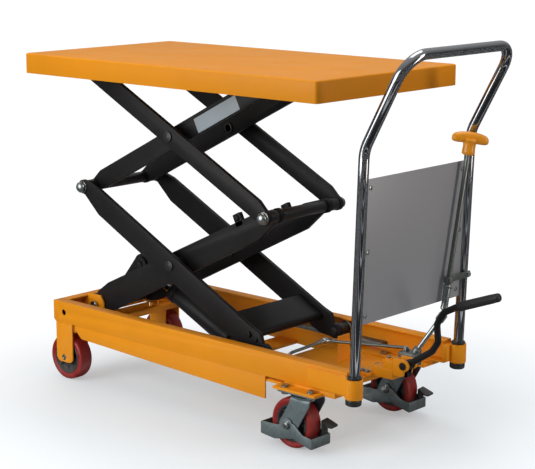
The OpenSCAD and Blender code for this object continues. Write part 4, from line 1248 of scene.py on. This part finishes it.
class LIFT_OT_handle(bpy.types.Operator):
    """Bent tube handle, foot nuts, sheet panel with its screws and screw lugs"""
    bl_idname = "lift.handle"
    bl_label = "Push handle"

    def execute(self, context):
        bend = context.scene.lift_sizes.bend
        corners = spots([(SOCKET_X, -TUBE_Y, SOCKET_Z), (KINK_X, -TUBE_Y, KINK_Z),
                         (BAR_X, -TUBE_Y, BAR_Z),
                         (BAR_X, TUBE_Y, BAR_Z), (KINK_X, TUBE_Y, KINK_Z),
                         (SOCKET_X, TUBE_Y, SOCKET_Z)])
        path = fillet(corners, np.array([0, 90 * MM, bend, bend, 90 * MM, 0]), steps=24)
        handle = tube(path, 12.5 * MM, 0.8 * MM, 64, (0.88, 0.0, -0.475))
        build("handle_tube", [handle], "chassis", "handle_chrome", ("push_handle",), 60)
        axis = (math.sin(LEAN), 0, math.cos(LEAN))
        feet = []
        for side in SIDES:
            centre = spot(SOCKET_X, side * TUBE_Y, SOCKET_Z)
            feet += [turned([(-4, 13), (-4, 16.2), (-2.4, 18.4), (1.5, 19), (2.2, 18.2), (2.9, 19),
                             (8.6, 19), (11.4, 17.4),
                             (11.4, 13)], centre, axis, 72, 0.5, closed=True),
                     turned([(-1.5, 12.6), (-1.5, 4.0), (-0.4, 2.0)], centre, axis),
                     collar(centre, 12.6, 17, 58.9, 64.9, axis, 1.2)]
        build("handle_feet", feet, "chassis", "shaft_dark", ("handle_foot_nuts",),
              34)
        half = 191.1
        sheet = plate(outline([(-half, 183), (half, 183), (half, 521), (-half, 521)], 5.0), -1 * MM,
                      1 * MM, 0.45 * MM, "xy")
        points, faces = sheet
        lean_sin, lean_cos = math.sin(LEAN), math.cos(LEAN)
        grid = np.stack([at(SOCKET_X) + points[:, 1] * lean_sin + points[:, 2] * lean_cos,
                         points[:, 0],
                         SOCKET_Z * MM + points[:, 1] * lean_cos - points[:, 2] * lean_sin], -1)
        build("panel_sheet", [(grid, faces)], "chassis", "panel_grey",
              ("back_panel",))
        forward = (lean_cos, 0, -lean_sin)
        screws, lugs = [], []
        for side in SIDES:
            for k in range(3):
                centre = on_tube(side * 177.2, 203 + 149 * k)
                screws += [turned([(1.02, 6.0), (1.9, 6.0), (2.0, 5.4), (3.0, 4.6), (3.5, 2.8),
                                   (3.6, 1.9), (2.6, 1.7),
                                   (2.5, 0.5)], centre, forward, 40),
                           turned([(-3, 2.6), (-2.7, 3), (1.1, 3)], centre, forward)]
                a, b = (-9, 14.2) if side > 0 else (-14.2, 9)
                lug = plate(outline([(a, -9), (b, -9), (b, 9), (a, 9)], 3.0), -4.5 * MM, -1.05 * MM,
                            0.5 * MM, "xy")
                p, f = lug
                lugs.append((np.stack([centre[0] + p[:, 2] * lean_cos + p[:, 1] * lean_sin,
                                       centre[1] + p[:, 0],
                                       centre[2] - p[:, 2] * lean_sin + p[:, 1] * lean_cos], -1),
                             f))
        build("panel_lugs", lugs, "chassis", "steel_pipe", ("panel_screws",))
        build("panel_fasteners", screws, "chassis", "zinc_bright")
        return {"FINISHED"}


# ---------------------------------------------------------------- release linkage

KNOB, JOINT, VALVE = (604, 171, 692), (588, 108, 303), (541, 76, 218)
ROD_AXIS = (np.array(KNOB) - JOINT) / np.linalg.norm(np.array(KNOB) - JOINT)
LOW_AXIS = (np.array(VALVE) - JOINT) / np.linalg.norm(np.array(VALVE) - JOINT)


def on_rod(z):
    """Station on the axis of the upper rod at height z."""
    return np.array(JOINT) + ROD_AXIS * (z - JOINT[2]) / ROD_AXIS[2]


def knob_surface():
    """T-shaped grip: closed section |a/A|^n + |b/B|^n = 1 carried along its wings.

    The middle of the section drops as s squared.
    """
    s = np.linspace(-1, 1, 41)
    cap = np.sqrt(np.clip(1 - np.abs(s) ** 7, 0, 1)) * 0.985 + 0.015
    along = 45.2 * np.sign(s) * np.abs(s) ** 0.92
    t = np.arange(40) * 2 * math.pi / 40
    power = 2 / 2.6
    a = np.sign(np.cos(t)) * np.abs(np.cos(t)) ** power
    b = np.sign(np.sin(t)) * np.abs(np.sin(t)) ** power
    width = (12.4 + 0.6 * (1 - s ** 2)) * cap
    height = (11.2 + 2.6 * (1 - np.abs(s) ** 1.6)) * cap
    middle = 36.6 - 4.6 * s ** 2
    return along, width[:, None] * a, middle[:, None] + height[:, None] * b


class LIFT_OT_release(bpy.types.Operator):
    """Twist knob, rods with a universal joint, clamped sleeve and the guide strap"""
    bl_idname = "lift.release"
    bl_label = "Release linkage"

    def execute(self, context):
        w = ROD_AXIS
        turn = math.radians(-45)
        u = np.array([math.cos(turn), math.sin(turn), 0.0])
        u -= w * (u @ w)
        u /= np.linalg.norm(u)
        v = np.cross(w, u)
        along, wide, tall = knob_surface()
        grid = (spot(*KNOB) + (v * along[:, None,
                                         None] + u * wide[..., None] + w * tall[..., None]) * MM)
        stem = turned([(-4, 12.5), (-3.2, 14.6), (-1.0, 15.8), (4, 15.6), (12, 15.0), (20, 15.2),
                       (25, 16.6), (29, 18.6),
                       (34, 17.0)], spot(*KNOB), w, 64)
        foot = turned([(-5.6, 9.0), (-5.4, 12.0), (-3.6, 13.0), (-3.0, 12.4)], spot(*KNOB), w, 64)
        build("knob_grip", [surface(grid), stem, foot], "release_handle",
              "knob_plastic",
              ("release_knob",), 44)
        rod = [tube(np.stack([spot(*JOINT), spot(*(np.array(KNOB) + 20 * w))]), 6 * MM, 0.8 * MM,
                    40),
               turned([(-7.5, 0.4), (-7.2, 2.2), (-5.3, 5.3), (-2.2, 7.2), (0, 7.5), (2.2, 7.2),
                       (5.3, 5.3)], spot(*JOINT), w)]
        build("upper_release_rod", rod, "release_handle", "steel_pipe",
              ("upper_rod",))
        top = np.linalg.norm(on_rod(376) - JOINT)
        sleeve = [collar(spot(*JOINT), 6.02, 8.5, 14, top, w, 0.8),
                  collar(spot(*JOINT), 8.3, 9.6, top - 9, top - 1.5, w, 0.9),
                  collar(spot(*JOINT), 8.3, 9.4, 15, 22, w, 0.9),
                  hex_head(spot(*(np.array(JOINT) + w * (top - 5.2))) + basis(w)[0] * 9 * MM, 6, 4,
                           basis(w)[0])]
        build("clamp_sleeve", sleeve, "release_handle", "zinc_bright",
              ("rod_sleeve",))
        d = LOW_AXIS
        end = np.linalg.norm(np.array(VALVE) - JOINT)
        lower = [turned([(-3, 7.6), (-3, 10.4), (-2.2, 11), (6, 11), (7, 10.2), (8, 11), (15, 11),
                         (18, 9.8), (20, 6.4),
                         (22, 6.0), (end + 7, 6.0), (end + 7, 2.0), (20, 1.0), (8.2, 1.0),
                         (8.0, 4.0), (3, 7.4)],
                        spot(*JOINT), d, 56, 0.4, closed=True)]
        build("lower_release_rod", lower, "release_spindle", "zinc_bright",
              ("lower_rod",))
        p = on_rod(ROD_GUIDE_Z)
        front = SOCKET_X + (396 - SOCKET_Z) * math.tan(LEAN) + 12.9
        strap = [block((front, front + 3), (p[1] + 8, 214), (380.4, 395.6), 0.5, 2, "yz"),
                 turned([(-8, 6.4), (-8, 9.6), (-6.8, 10.5), (6.8, 10.5), (8, 9.6), (8, 6.4)],
                        spot(*p), "z", 48, 0.4, closed=True)]
        build("guide_strap", strap, "chassis", "steel_pipe", ("rod_guide",))
        bolt = [hex_head(spot(front + 3, TUBE_Y, ROD_GUIDE_Z), 11.4, 5.2, "x", 0.3),
                collar(spot(front + 3, TUBE_Y, ROD_GUIDE_Z), 5.4, 8.0, 0, 1.2, "x", 0.3)]
        build("guide_bolt", bolt, "chassis", "zinc_bright")
        return {"FINISHED"}


# ---------------------------------------------------------------- foot pump

PEDAL_X, PEDAL_Y, PEDAL_Z, PLUNGER_Z = 550, 22, 190, 166

class LIFT_OT_pump(bpy.types.Operator):
    """Pump casting, bolts, plunger, lowering valve, pedal lever with rubber grip and oil pipe"""
    bl_idname = "lift.pump"
    bl_label = "Foot pump"

    def execute(self, context):
        ribs = context.scene.lift_sizes.ribs
        casting = [block((424.2, 463.8), (-13.8, 59.8), (150.1, 158), 0.8, 4),
                   block((457.5, 520.4), (0.2, 45.8), (150, 175), 1.6, 5),
                   block((488.2, 520.4), (2.2, 45.8), (172, 196), 1.6, 5)]
        for y in (2, 34):
            ear = outline([(519, 162, 1), (549, 162, 6), (550, 190, 14, -86, 90), (519, 204, 3)],
                          3.0)
            casting.append(plate(placed(ear), y * MM, (y + 8) * MM, 1.0 * MM))
        build("pump_casting", casting, "chassis", "powder_orange", ("pump_body",))
        build("pump_caps",
              [bead([(424, 1, 158.4), (456.6, 1, 158.4)], 1.2),
               bead([(457.2, 4, 159.0), (457.2, 42, 159.0)], 1.6),
                            turned([(195.8, 3), (195.8, 9), (197.2, 9.4), (199.4, 8.6)],
                                   spot(499, 14, 0), "z", 40)],
              "chassis", "powder_orange")
        build("pump_plugs",
              [hex_head(spot(499, 14, 199.2), 11, 4.5, "z"),
               hex_head(spot(457.6, 23, 163), 13, 5, (-1, 0, 0))],
              "chassis", "zinc_bright")
        bolts = []
        for y in (-8, 54):
            for x in (434, 450):
                bolts += [round_bar(spot(x, y, 0), 4.4, 150.1, 165.4, "z", 0.5),
                          round_bar(spot(x, y, 0), 6.6, 158.1, 159.3, "z", 0.3),
                          hex_head(spot(x, y, 159.2), 11.4, 5.0, "z", 0.1 * x)]
        build("pump_bolt_set", bolts, "chassis", "zinc_bright", ("pump_bolts",))
        build("plunger_rod", [round_bar(spot(0, PEDAL_Y, PLUNGER_Z), 7, 488, 543.6, "x", 1.2)],
              "plunger",
              "zinc_bright", ("pump_plunger",))
        d = np.array(JOINT) - VALVE
        d = d / np.linalg.norm(d)
        valve = [block((500.3, 545.7), (46.3, 83.7), (176.3, 207.7), 1.0, 3),
                 turned([(-16, 8.6), (-15, 10.4), (-4, 11), (-3, 9.8), (-2, 9.8), (-1, 10.8),
                         (-0.2, 10.2), (0, 6.1),
                         (-8, 6.1), (-9, 1.0)], spot(*VALVE), d, 56, 0.4),
                 hex_head(spot(516, 83.6, 190), 13, 4, "y")]
        build("valve_block", valve, "chassis", "steel_pipe", ("lowering_valve",))
        pivot_pin = spot(PEDAL_X, 0, PEDAL_Z)
        path = spots([(PEDAL_X, PEDAL_Y, PEDAL_Z), (620, PEDAL_Y, 236), (637, PEDAL_Y, 262),
                      (632, PEDAL_Y, 306), (654, PEDAL_Y, 338), (684, PEDAL_Y, 354),
                      (784, PEDAL_Y, 391.5)])
        path = fillet(path, np.array([0, 16, 20, 24, 24, 40, 0]) * MM, steps=12)
        lever = [tube(path, 8 * MM, 1.0 * MM, 36), round_bar(pivot_pin, 12, 10.6, 33.4),
                 round_bar(pivot_pin, 7, 0, 44)]
        for y in (15, 29):
            arm = outline([(544.6, 166, 2), (550, 166, 6.2, 180, 360), (555.4, 166, 2),
                           (555.4, 190, 2), (544.6, 190, 2)], 0)
            lever.append(plate(placed(arm), (y - 2) * MM, (y + 2) * MM, 0.5 * MM))
        lever += [round_bar(spot(PEDAL_X, 0, PLUNGER_Z), 6, 13, 31),
                  round_bar(pivot_pin, 9.6, -1.5, 0), round_bar(pivot_pin, 9.6, 44, 45.5)]
        build("pedal_bar", lever, "foot_pedal", "satin_black", ("pedal_lever",))
        ends = spots([(693.5, PEDAL_Y, 357.6), (805.0, PEDAL_Y, 399.4)])

        def profile(s, total):
            """Ring ribs on the middle length, a flange at the root and a rounded tip."""
            t = s / total
            middle = np.clip((t - 0.12) / 0.03, 0, 1) * np.clip((0.86 - t) / 0.03, 0, 1)
            return MM * (0.28 * middle * np.sin(t * 2 * math.pi * ribs / 0.74) - 0.25 * (1 - middle)
                         + 1.1 * np.exp(-((t - 0.03) / 0.025) ** 2) - 0.5 * t)
        grip = tube(ends, 11.2 * MM, 6.0 * MM, 40, swell=(180, profile))
        build("pedal_grip_sleeve", [grip], "foot_pedal", "grip_rubber",
              ("pedal_grip",), 60)
        stops = [(508, 70, 208.1), (508, 70, 214), (316, -8, 212), (284, -104, 194),
                 (250, -112, 136), (60, -60, 130),
                 (14, -44, 139)]
        route = fillet(spots(stops), np.array([0, 7, 12, 16, 22, 24, 0]) * MM, steps=10)
        build("oil_pipe", [tube(route, 4 * MM, 0.4 * MM, 28, (0.2, 0.3, 0.93))], "chassis",
              "steel_pipe",
              ("pressure_pipe",), 60)
        fittings = [hex_head(spot(508, 70, 208.1), 16, 5.4, "z"),
                    round_bar(spot(508, 70, 0), 6.2, 213, 217.5, "z", 1.0)]
        for a, b, t in ((1, 2, 0.93), (2, 3, 0.13), (5, 6, 0.80), (4, 5, 0.02)):
            p, q = spots([stops[a]])[0], spots([stops[b]])[0]
            axis = (q - p) / np.linalg.norm(q - p)
            centre = p + (q - p) * t
            fittings += [hex_head(centre - axis * 5 * MM, 13, 9, axis),
                         turned([(3.5, 5.6), (9, 5.6), (11, 4.4)], centre, axis),
                         turned([(-11, 4.4), (-9, 5.6), (-4.5, 5.6)], centre, axis)]
        fittings += [round_bar(spot(316, 0, 212), 7.6, -14, -2),
                     round_bar(spot(14, 0, 139), 8.6, -52, -33.2)]
        build("pipe_fittings", fittings, "chassis", "zinc_bright")
        return {"FINISHED"}


# ---------------------------------------------------------------- hydraulic cylinder

FOOT, EYE = (14.0, 139.0), (-335.0, 305.0)


class LIFT_OT_cylinder(bpy.types.Operator):
    """Hydraulic cylinder: black barrel with gland and port, chromed ram with its eye"""
    bl_idname = "lift.cylinder"
    bl_label = "Cylinder"

    def execute(self, context):
        foot = spot(FOOT[0], 0, FOOT[1])
        reach = np.array([EYE[0] - FOOT[0], EYE[1] - FOOT[1]])
        length = float(np.linalg.norm(reach))
        axis = (reach[0] / length, 0.0, reach[1] / length)
        angle = math.atan2(reach[1], reach[0])
        barrel = [turned([(26, 3), (26, 22), (30, 27), (50, 27), (50.6, 27.8), (53.4, 27.8),
                          (54, 27), (236, 27), (237, 26.2),
                          (239.6, 26.2), (240.5, 30), (259, 30), (261, 28.4), (262, 26),
                          (262, 17.1), (248, 17.1), (248, 3)],
                         foot, axis, 80, 0.5),
                  round_bar(foot, 17, -19, 19),
                  sloped(plate(outline([(0, -14, 1), (31, -14, 3), (31, 14, 3), (0, 14, 1)]),
                               -12 * MM, 12 * MM, 1.2 * MM),
                         foot[[0, 2]], angle),
                  hex_head(foot + np.array(axis) * 60 * MM, 20, 6, (0.38, 0, 0.92), 0.2)]
        barrel[-1] = moved(barrel[-1], np.array([0.38, 0, 0.92]) * 25.5 * MM)
        build("barrel_tube", barrel, "lift_barrel", "satin_black",
              ("cylinder_barrel",))
        ring_seal = [turned([(261.6, 17.08), (261.6, 21.5), (263.0, 20.6), (264.2, 18.4),
                             (264.4, 17.08)], foot, axis, 64,
                            0.3, closed=True)]
        build("wiper_seal", ring_seal, "lift_barrel", "grip_rubber")
        ram = [turned([(104, 3), (104, 17), (length - 48, 17), (length - 46, 15.6),
                       (length - 46, 12), (length - 25, 12),
                       (length - 25, 3)], foot, axis, 72, 0.5)]
        build("ram_rod", ram, "lift_ram", "handle_chrome", ("cylinder_ram",), 50)
        eye = [collar(spot(EYE[0], 0, EYE[1]), 20.5, 31, -12, 12, "y", 1.2, 72)]
        build("ram_eye", eye, "lift_ram", "satin_black")
        return {"FINISHED"}


# ---------------------------------------------------------------- stage

def lamp(name, place, target, size, power, colour=(1.0, 1.0, 1.0)):
    """Rectangular area light aimed at a target."""
    light = bpy.data.lights.new(name, "AREA")
    light.shape, light.size, light.size_y = "RECTANGLE", size[0], size[1]
    light.energy, light.color = power, colour
    holder = bpy.data.objects.new(name, light)
    bpy.context.scene.collection.objects.link(holder)
    holder.location = place
    holder.rotation_euler = (Vector(target) - Vector(place)).to_track_quat("-Z", "Y").to_euler()
    return holder


CAMERA_LENS, CAMERA_SENSOR = 105.9, 36.0
CAMERA_TURNS = (42.0, 11.7, 0.1)  # azimuth, elevation and roll in degrees
CAMERA_PLACE = (2.57925, -2.902, 1.260)
FLOOR_SPAN, FLOOR_STEPS = 60, 48
KEY_WATTS, SIDE_WATTS, TOP_WATTS, FLOOR_GLOW, STRIPE_GLOW = 57.0, 17.0, 27.0, 0.34, 0.8


def studio_world(world):
    """White for the camera; for the pieces a dim room, lighter overhead and behind on the left."""
    t = world.node_tree
    out = next(node for node in t.nodes if node.type == "OUTPUT_WORLD")
    room = next(node for node in t.nodes if node.type == "BACKGROUND")
    split = add(t, "SeparateXYZ")
    t.links.new(add(t, "TexCoord").outputs["Generated"], split.inputs[0])
    x, y, z = split.outputs
    left = math_node(t, "MULTIPLY", math_node(t, "SUBTRACT", y, x), 0.7071)
    glow = math_node(t, "ADD", spread(t, z, 0.05, 0.85, 0.06, 0.50),
                     spread(t, left, 0.1, 1.0, 0.0, 0.26))
    t.links.new(glow, room.inputs["Strength"])
    room.inputs["Color"].default_value = (1.0, 0.99, 0.98, 1.0)
    white = add(t, "Background", in_Color=(1.0, 1.0, 1.0, 1.0), in_Strength=1.0)
    choose = add(t, "MixShader")
    t.links.new(add(t, "LightPath").outputs["Is Camera Ray"], choose.inputs[0])
    t.links.new(room.outputs[0], choose.inputs[1])
    t.links.new(white.outputs[0], choose.inputs[2])
    t.links.new(choose.outputs[0], out.inputs["Surface"])


class LIFT_OT_stage(bpy.types.Operator):
    """Pale floor, soft lights and the camera; polished metal sees a dark floor with bright bars"""
    bl_idname = "lift.stage"
    bl_label = "Stage"

    def execute(self, context):
        f = Finish("studio_floor")
        t = f.tree
        split = add(t, "SeparateXYZ")
        t.links.new(f.place, split.inputs[0])
        reach = math_node(t, "SQRT",
                          math_node(t, "ADD", math_node(t, "POWER", split.outputs[0], 2.0),
                                               math_node(t, "POWER", split.outputs[1], 2.0)))
        far = spread(t, reach, 0.55, 1.15)
        pale = mix_colour(t, far, (0.62, 0.70, 0.76), (0.05, 0.05, 0.055))
        # Painted reflection: glossy rays see the floor near-black, so polished metal mirrors a dark
        # room instead of the pale floor
        rays = add(t, "LightPath").outputs
        mirrored_floor = rays["Is Glossy Ray"]
        f.feed("Base Color", mix_colour(t, math_node(t, "MULTIPLY", mirrored_floor, 0.85),
                                        pale, (0.03, 0.03, 0.032)))
        f.constant(Roughness=0.9, Specular_IOR_Level=0.1)
        f.shader.inputs["Emission Color"].default_value = (1.0, 1.0, 1.0, 1.0)
        # Painted reflection: slanted bars on the floor glow only for glossy rays, and the chrome
        # shows them as bright streaks
        stripe = math_node(t, "FRACT", math_node(t, "MULTIPLY", math_node(t, "SUBTRACT", math_node(
            t, "MULTIPLY", split.outputs[0], 0.93), math_node(t, "MULTIPLY", split.outputs[1],
                                                              0.37)), 2.3))
        bars = math_node(t, "MULTIPLY", math_node(t, "LESS_THAN", stripe, 0.16), STRIPE_GLOW)
        t.links.new(math_node(t, "ADD", math_node(t, "MULTIPLY", rays["Is Camera Ray"],
                                                  spread(t, far, 0.0, 1.0, FLOOR_GLOW, 1.0)),
                              math_node(t, "MULTIPLY", mirrored_floor, bars)),
                    f.shader.inputs["Emission Strength"])
        t = np.linspace(0, 1, FLOOR_STEPS)
        x, y = np.meshgrid((t - 0.5) * FLOOR_SPAN, (t - 0.5) * FLOOR_SPAN, indexing="ij")
        floor = np.stack([x, y, np.full_like(x, -0.0004)], -1)
        mesh = bpy.data.meshes.new("floor")
        mesh.from_pydata(floor.reshape(-1, 3).tolist(), [],
                         [f[::-1] for f in grid_faces(FLOOR_STEPS, FLOOR_STEPS, False, False)])
        ground = link_object("floor", mesh)
        ground.data.materials.append(bpy.data.materials["studio_floor"])
        world = bpy.data.worlds.new("studio")
        world.use_nodes = True
        studio_world(world)
        context.scene.world = world
        lamp("key", (-0.75, -2.7, 1.15), (0.0, 0.0, 0.50), (2.3, 2.1), KEY_WATTS,
             (1.0, 0.985, 0.96))
        lamp("side", (2.5, 0.75, 0.95), (0.1, 0.0, 0.45), (0.55, 1.8), SIDE_WATTS,
             (1.0, 0.88, 0.80))
        lamp("top", (0.1, 0.3, 3.2), (0.0, 0.0, 0.5), (2.0, 1.6), TOP_WATTS)
        camera = bpy.data.cameras.new("view")
        camera.lens, camera.sensor_width = CAMERA_LENS, CAMERA_SENSOR
        holder = bpy.data.objects.new("view", camera)
        context.scene.collection.objects.link(holder)
        azimuth, elevation, roll = (math.radians(turn) for turn in CAMERA_TURNS)
        back = Vector((math.sin(azimuth) * math.cos(elevation),
                       -math.cos(azimuth) * math.cos(elevation),
                       math.sin(elevation)))
        holder.rotation_mode = "QUATERNION"
        turn = back.to_track_quat("Z", "Y")
        holder.rotation_quaternion = turn @ Quaternion((0.0, 0.0, 1.0), roll)
        holder.location = CAMERA_PLACE
        context.scene.camera = holder
        context.scene.view_settings.view_transform = "Standard"
        return {"FINISHED"}


# ---------------------------------------------------------------- add-on

OPERATORS = (LIFT_OT_finishes, LIFT_OT_stage, LIFT_OT_deck, LIFT_OT_arms, LIFT_OT_pins,
             LIFT_OT_base, LIFT_OT_wheels,
             LIFT_OT_casters, LIFT_OT_handle, LIFT_OT_release, LIFT_OT_pump, LIFT_OT_cylinder)


class LIFT_PT_panel(bpy.types.Panel):
    """Sidebar list of the sizes, the colours and the pieces"""
    bl_idname = "LIFT_PT_panel"
    bl_label = "Scissor lift table"
    bl_space_type = "VIEW_3D"
    bl_region_type = "UI"
    bl_category = "Lift"

    def draw(self, context):
        for group in (context.scene.lift_sizes, context.scene.lift_colours):
            for name in group.__annotations__:
                self.layout.prop(group, name)
        for operator in OPERATORS:
            self.layout.operator(operator.bl_idname)


CLASSES = (LiftSizes, LiftColours, LIFT_PT_panel) + OPERATORS


def register():
    for cls in CLASSES:
        bpy.utils.register_class(cls)
    bpy.types.Scene.lift_sizes = bpy.props.PointerProperty(type=LiftSizes)
    bpy.types.Scene.lift_colours = bpy.props.PointerProperty(type=LiftColours)


def unregister():
    del bpy.types.Scene.lift_colours
    del bpy.types.Scene.lift_sizes
    for cls in reversed(CLASSES):
        bpy.utils.unregister_class(cls)


def main():
    """Builds everything in order."""
    register()
    for operator in OPERATORS:
        getattr(bpy.ops.lift, operator.bl_idname.split(".")[1])()


if __name__ == "__main__":
    main()
